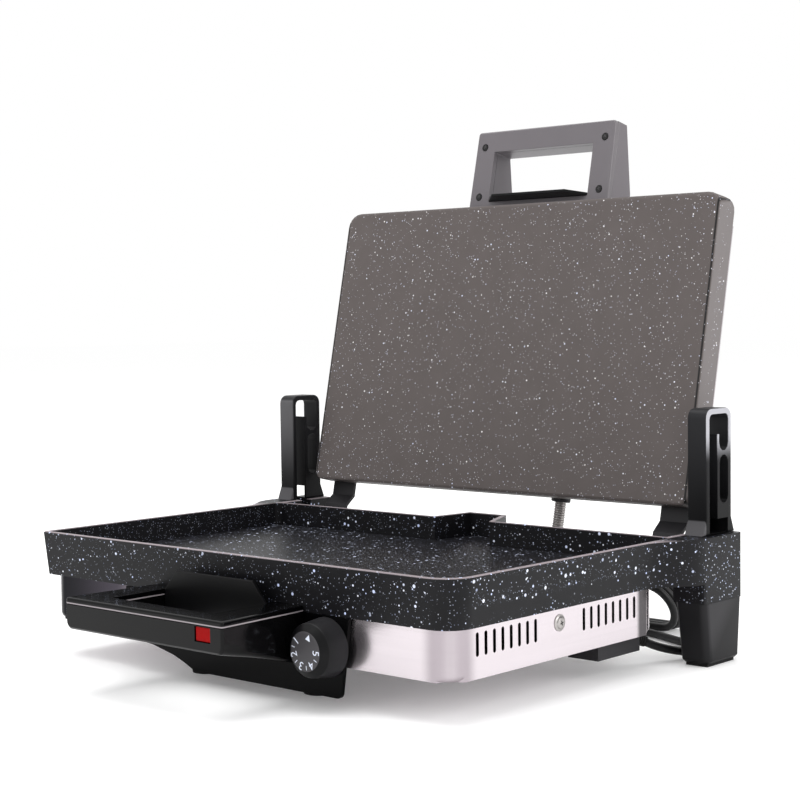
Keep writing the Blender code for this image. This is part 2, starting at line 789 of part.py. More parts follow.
def screw(name, place, direction, finish, parent=None, length=SCREW_LENGTH, head=SCREW_HEAD_RADIUS):
    """A screw whose head starts at the place, with a shank that runs along the direction."""
    bm = bmesh.new()
    run = Vector(direction)
    start = Vector(place)
    rod_into(bm, start, start + run * SCREW_HEAD, head, steps=SCREW_STEPS)
    cap = max(bm.faces, key=lambda face: face.calc_center_median().dot(run))
    bmesh.ops.inset_individual(bm, faces=[cap], thickness=head - SCREW_RADIUS)
    tip = bmesh.ops.extrude_discrete_faces(bm, faces=[cap])["faces"][0]
    bmesh.ops.translate(bm, verts=tip.verts, vec=run * (length - SCREW_HEAD))
    return mesh_object(name, bm, finish, parent or ROOT, smooth=True)


def screws(name, places, direction, finish, parent=None, length=SCREW_LENGTH, head=SCREW_HEAD_RADIUS):
    for number, place in enumerate(places, 1):
        screw(f"{name}_{number}", place, direction, finish, parent, length, head)


def bored(obj, name, places, direction, radius, length, parent=None):
    """Cut round holes that start a little before the places."""
    run = Vector(direction)
    ends = [(Vector(place) - run * CUT_OVERRUN, Vector(place) + run * length) for place in places]
    return cut(obj, rods(name, ends, radius, None, parent or ROOT))


def screw_holes(obj, name, places, direction, parent=None, length=SCREW_LENGTH):
    return bored(obj, name, places, direction, SCREW_RADIUS + SCREW_PLAY, length + SCREW_PLAY, parent)


# Base body


def tray_outline(inwards, rear_inwards=0.0):
    """Plan of the casting: a wide corner at the front right, a tight one at the front left."""
    edge = TRAY_HALF_WIDTH - inwards
    rear = TRAY_DEPTH - (rear_inwards or inwards)
    wide = TRAY_WIDE_CORNER - inwards
    back = TRAY_REAR_CORNER
    tight = TRAY_TIGHT_CORNER
    return (arc((edge - wide, TRAY_WIDE_CORNER), wide, -90, 0)
            + arc((edge - back, rear - back), back, 0, 90, 3)
            + arc((back - edge, rear - back), back, 90, 180, 3)
            + arc((tight - edge, inwards + tight), tight, 180, 270, 2))


def ear_outline(side, start):
    """Ear with its S-shaped flare, which leaves the tray's side at the start."""
    flare_start = EAR_FRONT - FLARE_LENGTH
    outline = [(TRAY_HALF_WIDTH - TRAY_WALL - SKIRT_DRAFT, flare_start)]
    for step in range(FLARE_STEPS + 1):
        share = step / FLARE_STEPS
        ease = 3 * share ** 2 - 2 * share ** 3
        outline.append((start + (EAR_OUTER - start) * ease, flare_start + FLARE_LENGTH * share))
    outline += arc((EAR_OUTER - EAR_CORNER, EAR_REAR - EAR_CORNER), EAR_CORNER, 0, 90, 2)
    outline += [(EAR_INNER, EAR_REAR), (EAR_INNER, TRAY_DEPTH - TRAY_REAR_WALL / 2)]
    outline.append((outline[0][0], outline[-1][1]))
    return on_side(outline, side)


def notch_outline(inwards):
    """Lopsided trapezium of the spout behind the tray's rear wall."""
    back = TRAY_DEPTH + NOTCH_REACH - inwards
    mouth = TRAY_DEPTH - TRAY_REAR_WALL - CUT_OVERRUN / 2 * (inwards > 0)
    return [
        (NOTCH_MOUTH_LEFT + inwards, mouth),
        (NOTCH_MOUTH_RIGHT - inwards, mouth),
        (NOTCH_BACK_RIGHT - inwards, back),
        (NOTCH_BACK_LEFT + inwards, back),
    ]


def post_screw_places():
    return [(side * POST_SCREW_X, POST_SCREW_Y, POST_SCREW_Z) for side in (1, -1)]


def side_screw_place(side):
    stand = SCREW_HEAD + FIT_GAP
    return (side * (PAN_HALF_WIDTH + stand), SIDE_SCREW_Y, RIM - SIDE_SCREW_DROP)


def ear_cutters(side):
    name = "right" if side > 0 else "left"
    pocket = prism(name + "_socket_pocket", on_side(rounded(*SOCKET, EAR_CORNER, 2), side),
                  RIM - SOCKET_DEPTH - CUT_OVERRUN, RIM - SOCKET_HEIGHT, "XY", None)
    half = PIN_RADIUS + FIT_GAP
    low, high = span(side, EAR_INNER - CUT_OVERRUN, PIN_OUTER + 2 * FIT_GAP)
    slot = box(name + "_pin_slot", (low, HINGE_Y - half, PIVOT_Z - half),
               (high, HINGE_Y + half + CHANNEL_PLAY, RIM + CUT_OVERRUN), None)
    return pocket, slot


def cooking_tray():
    rings = [(tray_outline(SKIRT_DRAFT), SKIRT), (tray_outline(0), RIM - RIM_EDGE), (tray_outline(RIM_EDGE), RIM)]
    body = loft("cooking_tray", rings, "XY", "granite_black", smooth=True)
    for side in (1, -1):
        foot = ear_outline(side, TRAY_HALF_WIDTH - SKIRT_DRAFT)
        ear = [(foot, SKIRT), (ear_outline(side, TRAY_HALF_WIDTH), RIM)]
        join(body, loft(f"ear_{side}", ear, "XY", None))
        sleeve = rounded(EAR_INNER, EAR_OUTER, EAR_FRONT, EAR_REAR, EAR_CORNER, 2)
        join(body, prism(f"socket_{side}", on_side(sleeve, side), RIM - SOCKET_DEPTH, SKIRT + CUT_OVERRUN,
                        "XY", None))
    join(body, prism("notch_body", notch_outline(0), UNDERSIDE, RIM, "XY", None))
    inside = tray_outline(TRAY_WALL, TRAY_REAR_WALL)
    cut(body, prism("well", inside, FLOOR, RIM + CUT_OVERRUN, "XY", None))
    cut(body, prism("notch_well", notch_outline(NOTCH_WALL), FLOOR, RIM + CUT_OVERRUN, "XY", None))
    under = SKIRT_DRAFT + SKIRT_WALL
    hollow = rounded(-TRAY_HALF_WIDTH + under, TRAY_HALF_WIDTH - under, under, TRAY_DEPTH - under,
                     PAN_CORNER + FIT_GAP)
    cut(body, prism("under_hollow", hollow, SKIRT - CUT_OVERRUN, UNDERSIDE, "XY", None))
    for side in (1, -1):
        for cutter in ear_cutters(side):
            cut(body, cutter)
        place = side_screw_place(side)
        outer = side * (PAN_HALF_WIDTH - PAN_WALL - FIT_GAP)
        inner = outer - side * LUG_WIDTH
        low = (min(inner, outer), SIDE_SCREW_Y - LUG_LENGTH / 2, RIM - LUG_DROP)
        high = (max(inner, outer), SIDE_SCREW_Y + LUG_LENGTH / 2, UNDERSIDE + TRAY_FLOOR / 2)
        join(body, box(f"lug_{side}", low, high, None))
        screw_holes(body, f"lug_hole_{side}", [place], (-side, 0, 0))
    return screw_holes(body, "post_screw_holes", post_screw_places(), (0, 0, 1), length=POST_SCREW_LENGTH)


def vent_outlines():
    outlines = []
    for start in VENT_STARTS:
        for index in range(VENT_COUNT):
            y = start + index * VENT_PITCH
            z = RIM - VENT_DROP
            outlines.append(rounded(y - VENT_WIDTH / 2, y + VENT_WIDTH / 2, z - VENT_LENGTH / 2,
                                    z + VENT_LENGTH / 2, VENT_WIDTH * VENT_ROUND_SHARE, 2))
    return outlines


def front_screw_places():
    return [(side * HANDLE_SCREW_X, PAN_FRONT + PAN_WALL + SCREW_HEAD + FIT_GAP, RIM - HANDLE_SCREW_DROP)
            for side in (1, -1)]


def base_pan():
    outline = rounded(-PAN_HALF_WIDTH, PAN_HALF_WIDTH, PAN_FRONT, PAN_REAR, PAN_CORNER)
    pan = pan_shell("base_pan", outline, UNDERSIDE - FIT_GAP, PAN_FLOOR, PAN_EDGE, 0, PAN_WALL, "brushed_steel")
    for side in (1, -1):
        low, high = span(side, PAN_HALF_WIDTH - PAN_WALL - CUT_OVERRUN / 2, PAN_HALF_WIDTH + CUT_OVERRUN)
        cut(pan, slab(f"vents_{side}", vent_outlines(), low, high, "YZ", None))
        screw_holes(pan, f"pan_side_hole_{side}", [side_screw_place(side)], (-side, 0, 0))
    bored(pan, "shaft_hole", [(KNOB_X, PAN_FRONT, KNOB_Z)], (0, 1, 0), SHAFT_COLLAR, PAN_WALL + CUT_OVERRUN)
    bored(pan, "cord_hole", [CORD_HOLE], (0, 0, 1), CORD_DIAMETER, PAN_WALL + CUT_OVERRUN)
    bored(pan, "conduit_hole", [GROMMET_SEAT], (0, -1, 0), GLAND_NECK_RADIUS + FIT_GAP, PAN_WALL + CUT_OVERRUN)
    return screw_holes(pan, "pan_front_holes", front_screw_places(), (0, -1, 0), length=FRONT_SCREW_LENGTH)


def element_route(low, high, height):
    """One U-shaped heating tube with round corners, its two ends at the high side."""
    right = [(ELEMENT_HALF, high)]
    right += arc((ELEMENT_HALF - ELEMENT_BEND, low + ELEMENT_BEND), ELEMENT_BEND, 0, -90)
    return [(x, y, height) for x, y in right + [(-x, y) for x, y in reversed(right)]]


def lower_heating():
    height = UNDERSIDE - FIT_GAP - ELEMENT_RADIUS
    tube("lower_heating_element", element_route(LOWER_ELEMENT_FRONT, LOWER_ELEMENT_REAR, height),
         ELEMENT_RADIUS, "element_steel")


def thermostat():
    width, depth, height = THERMOSTAT_SIZE
    front = PAN_FRONT + PAN_WALL + THERMOSTAT_NECK
    body = box("thermostat", (KNOB_X - width / 2, front, KNOB_Z - height / 2),
               (KNOB_X + width / 2, front + depth, KNOB_Z + height / 2), "ceramic", edge=FIT_GAP * 2)
    neck = ((KNOB_X, PAN_FRONT + PAN_WALL + FIT_GAP, KNOB_Z), (KNOB_X, front + THERMOSTAT_NECK / 2, KNOB_Z))
    join(body, rods("thermostat_neck", [neck], 2 * SHAFT_RADIUS, None))
    return bored(body, "thermostat_bore", [neck[0]], (0, 1, 0), SHAFT_RADIUS + FIT_GAP, SHAFT_SEAT)


def panel_outline():
    """Front panel seen from the front: a curved left end, a straight foot and a leaning right end."""
    top = SKIRT - FIT_GAP
    foot = RIM - PANEL_BOTTOM
    lean = math.degrees(math.atan2(PANEL_LEAN, top - foot))
    corner = (PANEL_RIGHT - PANEL_CORNER, foot + PANEL_CORNER)
    outline = [(-PANEL_STEP_X, foot)] + arc(corner, PANEL_CORNER, -90, -lean)
    outline += [(PANEL_RIGHT + PANEL_LEAN, top), (-PANEL_RIGHT, top), (-PANEL_RIGHT, RIM - PANEL_LEFT_DROP)]
    outline.append((-PANEL_SHOULDER_X, RIM - PANEL_SHOULDER_DROP))
    for share in PANEL_CURVE_SHARES:
        fall = (PANEL_BOTTOM - PANEL_SHOULDER_DROP) * share ** PANEL_CURVE_POWER
        x = PANEL_SHOULDER_X + (PANEL_STEP_X - PANEL_SHOULDER_X) * share
        outline.append((-x, RIM - PANEL_SHOULDER_DROP - fall))
    return outline


def control_panel():
    panel = prism("control_panel", panel_outline(), PANEL_FRONT, PANEL_FRONT + PANEL_THICKNESS, "XZ",
                 "satin_plastic")
    bored(panel, "panel_shaft_hole", [(KNOB_X, PANEL_FRONT, KNOB_Z)], (0, 1, 0), SHAFT_COLLAR,
          PANEL_THICKNESS + CUT_OVERRUN)
    return screw_holes(panel, "panel_holes", front_screw_places(), (0, -1, 0), length=FRONT_SCREW_LENGTH)


def handle_half_at(y):
    share = (y + HANDLE_REACH) / (HANDLE_REAR + HANDLE_REACH)
    return HANDLE_FRONT_HALF + (HANDLE_REAR_HALF - HANDLE_FRONT_HALF) * share


def grip_opening(name, low):
    hole = rounded(-GRIP_HALF, GRIP_HALF, GRIP_FRONT, GRIP_REAR, GRIP_CORNER, 2)
    return prism(name, hole, low, RIM, "XY", None)


def front_handle_upper_shell():
    corner = (HANDLE_FRONT_HALF - HANDLE_CORNER, -HANDLE_REACH + HANDLE_CORNER)
    outline = both_sides(arc(corner, HANDLE_CORNER, -90, 0, 3) + [(HANDLE_REAR_HALF, HANDLE_REAR)])
    shell = soft_slab("front_handle_upper_shell", outline, CAP_LOW + FIT_GAP, RIM - HANDLE_TOP_DROP, HANDLE_EDGE,
                      "XY", "gloss_plastic", soft_ends=(False, True))
    return cut(shell, grip_opening("upper_grip_opening", CAP_LOW - CUT_OVERRUN))


def lower_ring(y, depth, inwards):
    """Outline across the lower shell, seen from the front, at one distance from the tray."""
    half = handle_half_at(y) - inwards
    foot = CAP_LOW - depth + inwards
    right = arc((half - HANDLE_UNDER_EDGE, foot + HANDLE_UNDER_EDGE), HANDLE_UNDER_EDGE, -90, 0, 3)
    return both_sides(right + [(half, CAP_LOW)])


def front_handle_lower_shell():
    tip = HANDLE_TIP_DEPTH - HANDLE_CAP
    root = HANDLE_ROOT_DEPTH - HANDLE_CAP
    rings = [(lower_ring(-HANDLE_REACH, tip, HANDLE_TIP_EDGE), -HANDLE_REACH)]
    for share in HANDLE_RING_SHARES:
        y = -HANDLE_REACH + (HANDLE_REACH + HANDLE_REAR) * share
        bulge = HANDLE_BULGE * math.sin(math.pi * share)
        rings.append((lower_ring(y, tip + (root - tip) * share - bulge, 0), y))
    shell = loft("front_handle_lower_shell", rings, "XZ", "gloss_plastic", smooth=True)
    cut(shell, grip_opening("lower_grip_opening", RIM - HANDLE_TOP_DROP - 2 * HANDLE_ROOT_DEPTH))
    outer = HANDLE_REAR_HALF - HANDLE_WALL
    inner = GRIP_HALF + HANDLE_WALL
    front = -HANDLE_REACH + HANDLE_WALL
    bar = GRIP_FRONT - HANDLE_WALL
    end = GRIP_REAR - HANDLE_WALL
    pocket = [(-outer, front), (outer, front), (outer, end), (inner, end), (inner, bar), (-inner, bar),
              (-inner, end), (-outer, end)]
    cut(shell, prism("handle_pocket", pocket, CAP_LOW - tip + HANDLE_WALL, CAP_LOW + CUT_OVERRUN, "XY", None))
    lens = (LENS_X - LENS_SIZE / 2 - FIT_GAP, -HANDLE_REACH - CUT_OVERRUN, LENS_Z - LENS_HEIGHT / 2 - FIT_GAP)
    cut(shell, box("lens_window", lens, (LENS_X + LENS_SIZE / 2 + FIT_GAP, front + CUT_OVERRUN,
                                         LENS_Z + LENS_HEIGHT / 2 + FIT_GAP), None))
    return screw_holes(shell, "handle_screw_holes", front_screw_places(), (0, -1, 0), length=FRONT_SCREW_LENGTH)


def front_finger_guard():
    low = CAP_LOW - GUARD_ROOT
    top = RIM - HANDLE_TOP_DROP + GUARD_RISE
    wide = GRIP_HALF - FIT_GAP
    right = [(wide, low), (wide, RIM - HANDLE_TOP_DROP - RIM_EDGE), (GRIP_HALF - GUARD_TOP_INSET, top)]
    outline = both_sides(right)
    return prism("front_finger_guard", outline, GRIP_REAR - FIT_GAP - GUARD_THICKNESS, GRIP_REAR - FIT_GAP,
                "XZ", "satin_plastic")


def pilot_light():
    front = -HANDLE_REACH + LENS_INSET
    half = LENS_SIZE / 2
    tall = LENS_HEIGHT / 2
    lens = soft_slab("indicator_lens", rounded(LENS_X - half, LENS_X + half, LENS_Z - tall, LENS_Z + tall,
                                               LENS_INSET, 2), front, front + LENS_DEPTH, LENS_INSET / 2, "XZ",
                     "red_lens", soft_ends=(True, False))
    start = Vector((LENS_X, front + LENS_DEPTH + FIT_GAP, LENS_Z))
    rods("indicator_lamp", [(start, start + Vector((0, LENS_DEPTH, 0)))], LAMP_RADIUS, "ceramic")
    return lens


def leg_outline(taper, front, rear):
    """Plan of a right leg: a wide corner at the front outside, and three tight ones."""
    inner = EAR_INNER + LEG_INNER_INSET
    outer = EAR_OUTER - LEG_OUTER_INSET - taper
    wide = LEG_FRONT_CORNER
    tight = LEG_CORNER
    return (arc((outer - wide, front + wide), wide, -90, 0, 3)
            + arc((outer - tight, rear - tight), tight, 0, 90, 3)
            + arc((inner + tight, rear - tight), tight, 90, 180, 3)
            + arc((inner + tight, front + tight), tight, 180, 270, 3))


def leg(side):
    name = "right" if side > 0 else "left"
    top = leg_outline(0, EAR_FRONT + LEG_TOP_FRONT, EAR_REAR)
    foot = leg_outline(LEG_TAPER, EAR_FRONT + LEG_BOTTOM_FRONT, EAR_REAR - LEG_BOTTOM_REAR)
    low = PAD_HEIGHT + FIT_GAP
    high = RIM - SOCKET_DEPTH - FIT_GAP
    rings = [(on_side(shrunk(foot, PAD_HEIGHT), side), low), (on_side(foot, side), low + PAD_HEIGHT),
             (on_side(top, side), high)]
    body = loft(name + "_leg", rings, "XY", "satin_plastic", smooth=True)
    spigot = rounded(SOCKET[0] + FIT_GAP, SOCKET[1] - FIT_GAP, SOCKET[2] + FIT_GAP, SOCKET[3] - FIT_GAP,
                     EAR_CORNER, 2)
    return join(body, prism(name + "_spigot", on_side(spigot, side), high - PAD_HEIGHT, high + LEG_SPIGOT,
                           "XY", None))


def rear_foot_pad(side):
    name = "right_rear_foot_pad" if side > 0 else "left_rear_foot_pad"
    y_low = EAR_FRONT + LEG_BOTTOM_FRONT + PAD_INSET
    y_high = EAR_REAR - LEG_BOTTOM_REAR - PAD_INSET
    outer = EAR_OUTER - LEG_OUTER_INSET - LEG_TAPER - PAD_INSET
    low, high = span(side, EAR_INNER + LEG_INNER_INSET + PAD_INSET, outer)
    return box(name, (low, y_low, 0), (high, y_high, PAD_HEIGHT), "rubber")


def front_foot(side):
    name = "right_front_foot" if side > 0 else "left_front_foot"
    bm = bmesh.new()
    x = side * FRONT_FOOT_X
    rod_into(bm, (x, FRONT_FOOT_Y, PAN_FLOOR - FIT_GAP), (x, FRONT_FOOT_Y, 0), FRONT_FOOT_TOP_RADIUS,
             FRONT_FOOT_RADIUS, ROUND_STEPS)
    return mesh_object(name, bm, "rubber", ROOT, smooth=True)


def post_outline():
    """Side view of a post: round shoulders above and a small flare on the ear."""
    low = RIM + FIT_GAP
    high = RIM + POST_HEIGHT
    return ([(POST_FRONT - POST_FLARE, low), (POST_REAR + POST_FLARE, low), (POST_REAR, low + POST_FLARE_HEIGHT)]
            + arc((POST_REAR - POST_CORNER, high - POST_CORNER), POST_CORNER, 0, 90)
            + arc((POST_FRONT + POST_CORNER, high - POST_CORNER), POST_CORNER, 90, 180)
            + [(POST_FRONT, low + POST_FLARE_HEIGHT)])


def post_openings():
    """The pin's channel with the parking pocket behind it, and the oval slot below the pocket."""
    front = POST_FRONT + POST_WALL
    channel_rear = HINGE_Y + PIN_RADIUS + FIT_GAP + CHANNEL_PLAY
    pocket_front = channel_rear + DIVIDER_WIDTH
    rear = POST_REAR - POST_WALL
    radius = (rear - pocket_front) / 2
    top = RIM + POST_HEIGHT - POST_WALL
    floor = RIM + POCKET_BOTTOM + radius
    channel = [(front, RIM + POST_WINDOW_LOW), (channel_rear, RIM + POST_WINDOW_LOW),
               (channel_rear, RIM + DIVIDER_HEIGHT), (pocket_front, RIM + DIVIDER_HEIGHT)]
    channel += arc((rear - radius, floor), radius, 180, 360)
    channel += arc((rear - POST_WALL, top - POST_WALL), POST_WALL, 0, 90, 3)
    channel += arc((front + POST_WALL, top - POST_WALL), POST_WALL, 90, 180, 3)
    oval_y = rear - radius
    oval = (arc((oval_y, RIM + OVAL_LOW + OVAL_RADIUS), OVAL_RADIUS, 180, 360)
            + arc((oval_y, RIM + OVAL_HIGH - OVAL_RADIUS), OVAL_RADIUS, 0, 180))
    return channel, oval


def hinge_post(side):
    name = "right_hinge_post" if side > 0 else "left_hinge_post"
    low, high = span(side, POST_INNER, POST_OUTER)
    post = soft_slab(name, post_outline(), low, high, POST_EDGE, "YZ", "satin_plastic")
    channel, oval = post_openings()
    cut(post, prism(name + "_channel", channel, low - CUT_OVERRUN, high + CUT_OVERRUN, "YZ", None))
    cut(post, prism(name + "_oval", oval, low - CUT_OVERRUN, high + CUT_OVERRUN, "YZ", None))
    front = POST_FRONT + POST_WALL
    channel_rear = HINGE_Y + PIN_RADIUS + FIT_GAP + CHANNEL_PLAY
    inner, outer = span(side, POST_INNER - CUT_OVERRUN, PIN_OUTER + 2 * FIT_GAP)
    cut(post, box(name + "_mouth", (inner, front, RIM - CUT_OVERRUN),
                  (outer, channel_rear, RIM + POST_WINDOW_HIGH), None))
    inner, outer = span(side, POST_INNER + POST_SKIN, POST_OUTER + CUT_OVERRUN)
    cut(post, box(name + "_window", (inner, HINGE_Y, RIM + POST_WINDOW_LOW),
                  (outer, POST_REAR - POST_FOOT_WALL, RIM + POST_WINDOW_HIGH), None))
    places = [place for place in post_screw_places() if place[0] * side > 0]
    return screw_holes(post, name + "_holes", places, (0, 0, 1), length=POST_SCREW_LENGTH)


def base_screws():
    screws("post_screw", post_screw_places(), (0, 0, 1), "plated_steel", length=POST_SCREW_LENGTH)
    screws("front_handle_screw", front_screw_places(), (0, -1, 0), "plated_steel", length=FRONT_SCREW_LENGTH)
    for side in (1, -1):
        name = "right_side_screw" if side > 0 else "left_side_screw"
        screw(name, side_screw_place(side), (-side, 0, 0), "plated_steel", head=SIDE_SCREW_HEAD)


# Mains entry, cord and plug


def cord_entry():
    low = Vector((ENTRY_X - ENTRY_SIZE[0] / 2, ENTRY_FRONT, ENTRY_TOP - ENTRY_SIZE[2]))
    high = low + Vector(ENTRY_SIZE)
    body = box("cord_entry_box", low, high, "satin_plastic")
    wall = Vector((ENTRY_WALL, ENTRY_WALL, ENTRY_WALL))
    inner_high = high - Vector((ENTRY_WALL, ENTRY_WALL, -CUT_OVERRUN))
    cut(body, box("entry_hollow", low + wall, inner_high, None))
    hole = (ENTRY_X, ENTRY_REAR, RELIEF_RISE)
    bored(body, "entry_cord_hole", [hole], (0, -1, 0), CORD_RADIUS + FIT_GAP, ENTRY_WALL + CUT_OVERRUN)
    block = low + wall + Vector((0, CUT_OVERRUN, FIT_GAP))
    block.x = ENTRY_X - TERMINAL_SIZE[0] / 2
    box("terminal_block", block, block + Vector(TERMINAL_SIZE), "ceramic", edge=2 * FIT_GAP)
    fuse = Vector((-FUSE_LENGTH / 2, LOWER_ELEMENT_REAR, UNDERSIDE - FIT_GAP - FUSE_RADIUS))
    rods("thermal_fuse", [(fuse, fuse + Vector((FUSE_LENGTH, 0, 0)))], FUSE_RADIUS, "plated_steel")


def relief_point(share):
    """Middle line of the strain relief, which droops and swings aside a little."""
    angle = math.radians(RELIEF_SWEEP * share)
    droop = RELIEF_BEND * (1 - math.cos(angle))
    return Vector((ENTRY_X + droop * RELIEF_ASIDE_SHARE, ENTRY_REAR + FIT_GAP + RELIEF_BEND * math.sin(angle),
                   RELIEF_RISE - droop))


def strain_relief():
    """A ribbed sleeve that droops with the cord and thins towards its tip."""
    route = [relief_point(ring / RELIEF_RINGS) for ring in range(RELIEF_RINGS + 1)]
    radii = []
    for ring in range(RELIEF_RINGS + 1):
        taper = RELIEF_ROOT_RADIUS + (RELIEF_TIP_RADIUS - RELIEF_ROOT_RADIUS) * ring / RELIEF_RINGS
        radii.append(taper * (RELIEF_GROOVE_SHARE if ring % 4 > 1 else 1) / RELIEF_ROOT_RADIUS)
    return tube("strain_relief", route, RELIEF_ROOT_RADIUS, "rubber", resolution=4, radii=radii)


def from_entry(x, y, z):
    """Give a point of the loose cord, counted from the cord entry, its place."""
    return Vector((ENTRY_X + x, ENTRY_REAR + y, z))


def hank_point(turn):
    """Centre line of the hank, one turn after another, starting to the left along its foot."""
    run = HANK_RUN
    radius = HANK_FOLD_RADIUS
    fold = math.pi * radius
    along = (turn % 1) * 2 * (run + fold)
    if along < run:
        x, z = run - along, -radius
    elif along < run + fold:
        angle = -math.pi / 2 - (along - run) / radius
        x, z = radius * math.cos(angle), radius * math.sin(angle)
    elif along < 2 * run + fold:
        x, z = along - run - fold, radius
    else:
        angle = math.pi / 2 - (along - 2 * run - fold) / radius
        x, z = run + radius * math.cos(angle), radius * math.sin(angle)
    return from_entry(HANK_LEFT + x, HANK_SETBACK + HANK_PITCH * turn - z * HANK_LEAN, HANK_RISE + z)


def hank_route():
    turns = HANK_LAST_TURN - HANK_FIRST_TURN
    count = round(turns * HANK_POINTS)
    return [hank_point(HANK_FIRST_TURN + turns * index / count) for index in range(count + 1)]


def self_gap(route, skip):
    """Least distance between stretches of a tube that aren't neighbours, less its diameter."""
    least = min((one - two).length for index, one in enumerate(route) for two in route[index + skip:])
    return least - CORD_DIAMETER


def pulled_back(route):
    """Shorten a route by a fit gap at both ends, so that it meets its neighbours face to face."""
    first = route[0] + (route[1] - route[0]).normalized() * FIT_GAP / 2
    last = route[-1] + (route[-2] - route[-1]).normalized() * FIT_GAP / 2
    return [first] + route[1:-1] + [last]


def cords():
    hank = hank_route()
    print("hank self gap", self_gap(hank, HANK_POINTS // 2))
    tube("cord_hank", pulled_back(hank), CORD_RADIUS, "cord_pvc")
    start = relief_point(1)
    outwards = (start - relief_point(1 - 1 / RELIEF_RINGS)).normalized()
    inwards = (hank[1] - hank[0]).normalized()
    supply = [start + outwards * FIT_GAP, start + outwards * CORD_DIAMETER]
    supply += [from_entry(*point) for point in CORD_TO_HANK] + [hank[0] - inwards * CORD_DIAMETER, hank[0]]
    tube("power_cord_run", pulled_back(smooth_route(supply, CORD_STEP)), CORD_RADIUS, "cord_pvc")
    neck = from_entry(PLUG_NECK_X, PLUG_SETBACK, PLUG_RADIUS + FIT_GAP)
    leave = (hank[-1] - hank[-2]).normalized()
    tail = [hank[-1], hank[-1] + leave * CORD_DIAMETER]
    tail += [from_entry(*point) for point in HANK_TO_PLUG] + [neck]
    tube("power_cord_tail", pulled_back(smooth_route(tail, CORD_STEP)), CORD_RADIUS, "cord_pvc")


def plug():
    reach = PLUG_NECK + PLUG_LENGTH
    waist = PLUG_RADIUS * PLUG_WAIST_SHARE
    profile = [(0, reach), (PLUG_RADIUS - CUT_OVERRUN, reach), (PLUG_RADIUS, reach - CUT_OVERRUN),
               (PLUG_RADIUS, reach - PLUG_LENGTH * PLUG_GRIP_SHARE), (waist, PLUG_NECK + CUT_OVERRUN),
               (PLUG_NECK_RADIUS, PLUG_NECK), (PLUG_NECK_RADIUS * PLUG_TIP_SHARE, 0), (0, 0)]
    start = from_entry(PLUG_NECK_X, PLUG_SETBACK, PLUG_RADIUS + FIT_GAP)
    body = turned("plug", profile, start, (-1, 0, 0), "satin_plastic")
    pins = []
    for side in (1, -1):
        root = start + Vector((-reach + CUT_OVERRUN, side * PLUG_PIN_SPACING / 2, 0))
        pins.append((root, root - Vector((CUT_OVERRUN + PLUG_PIN_LENGTH, 0, 0))))
    return join(body, rods("plug_pins", pins, PLUG_PIN_RADIUS, "plated_steel"))


# Conduit to the lid


def gland(name, seat, direction, parent=None):
    """A flanged bush: its flange stands on the seat and its neck goes through the sheet."""
    profile = [(0, GLAND_LENGTH), (GLAND_RADIUS - RIM_EDGE, GLAND_LENGTH),
               (GLAND_RADIUS, GLAND_LENGTH - RIM_EDGE), (GLAND_RADIUS, 0), (GLAND_NECK_RADIUS, 0), (GLAND_NECK_RADIUS, -GLAND_NECK), (0, -GLAND_NECK)]
    return turned(name, profile, seat, direction, "satin_plastic", parent)


def conduit_points():
    """The conduit's route from the grommet on the pan, up behind it and into the lid's gland."""
    first = Vector(GROMMET_SEAT) + Vector((0, GLAND_LENGTH + 2 * FIT_GAP, 0))
    middle = [Vector((CONDUIT_X, HINGE_Y + back, PIVOT_Z + rise)) for back, rise in CONDUIT_BENDS]
    lid = (Matrix.Translation((0, HINGE_Y, PIVOT_Z)) @ Matrix.Rotation(math.pi - OPEN_ANGLE, 4, "X")
           @ Matrix.Translation((0, LID_EDGE_TO_PIN, PIN_BEHIND_FACE)))
    last = lid @ Vector((CONDUIT_X, COVER_LOW - GLAND_LENGTH - 2 * FIT_GAP, -CONDUIT_BEHIND_FACE))
    return [first] + middle + [last]


def flexible_conduit():
    """A spring-like steel hose: ribs of unlike radius, with its bore cut along the same way."""
    smooth = smooth_route(conduit_points(), CONDUIT_STEP)
    total = sum((two - one).length for one, two in zip(smooth, smooth[1:]))
    pitch = total / (2 * CONDUIT_RIBS)
    route = evenly(smooth, pitch)
    radii = [1 if ring % 2 else CONDUIT_GROOVE_SHARE for ring in range(len(route))]
    hose = tube("flexible_conduit", route, CONDUIT_RADIUS, "plated_steel", FLOAT, 2, radii)
    back = Matrix.Translation((0, -HINGE_Y, -PIVOT_Z))
    hose.data.transform(back)
    ends = [route[0] - (route[1] - route[0]).normalized() * CUT_OVERRUN]
    ends += route[::4] + [route[-1] + (route[-1] - route[-2]).normalized() * CUT_OVERRUN]
    bore = tube("conduit_bore", ends, CONDUIT_BORE, None, FLOAT, 1)
    bore.data.transform(back)
    return cut(hose, bore)


def evenly(route, pitch):
    """Space points along a route by one pitch."""
    spaced = [route[0]]
    walked = 0.0
    for one, two in zip(route, route[1:]):
        length = (two - one).length
        while walked + length >= pitch * len(spaced):
            spaced.append(one.lerp(two, (pitch * len(spaced) - walked) / length))
        walked += length
    return spaced


# Knob


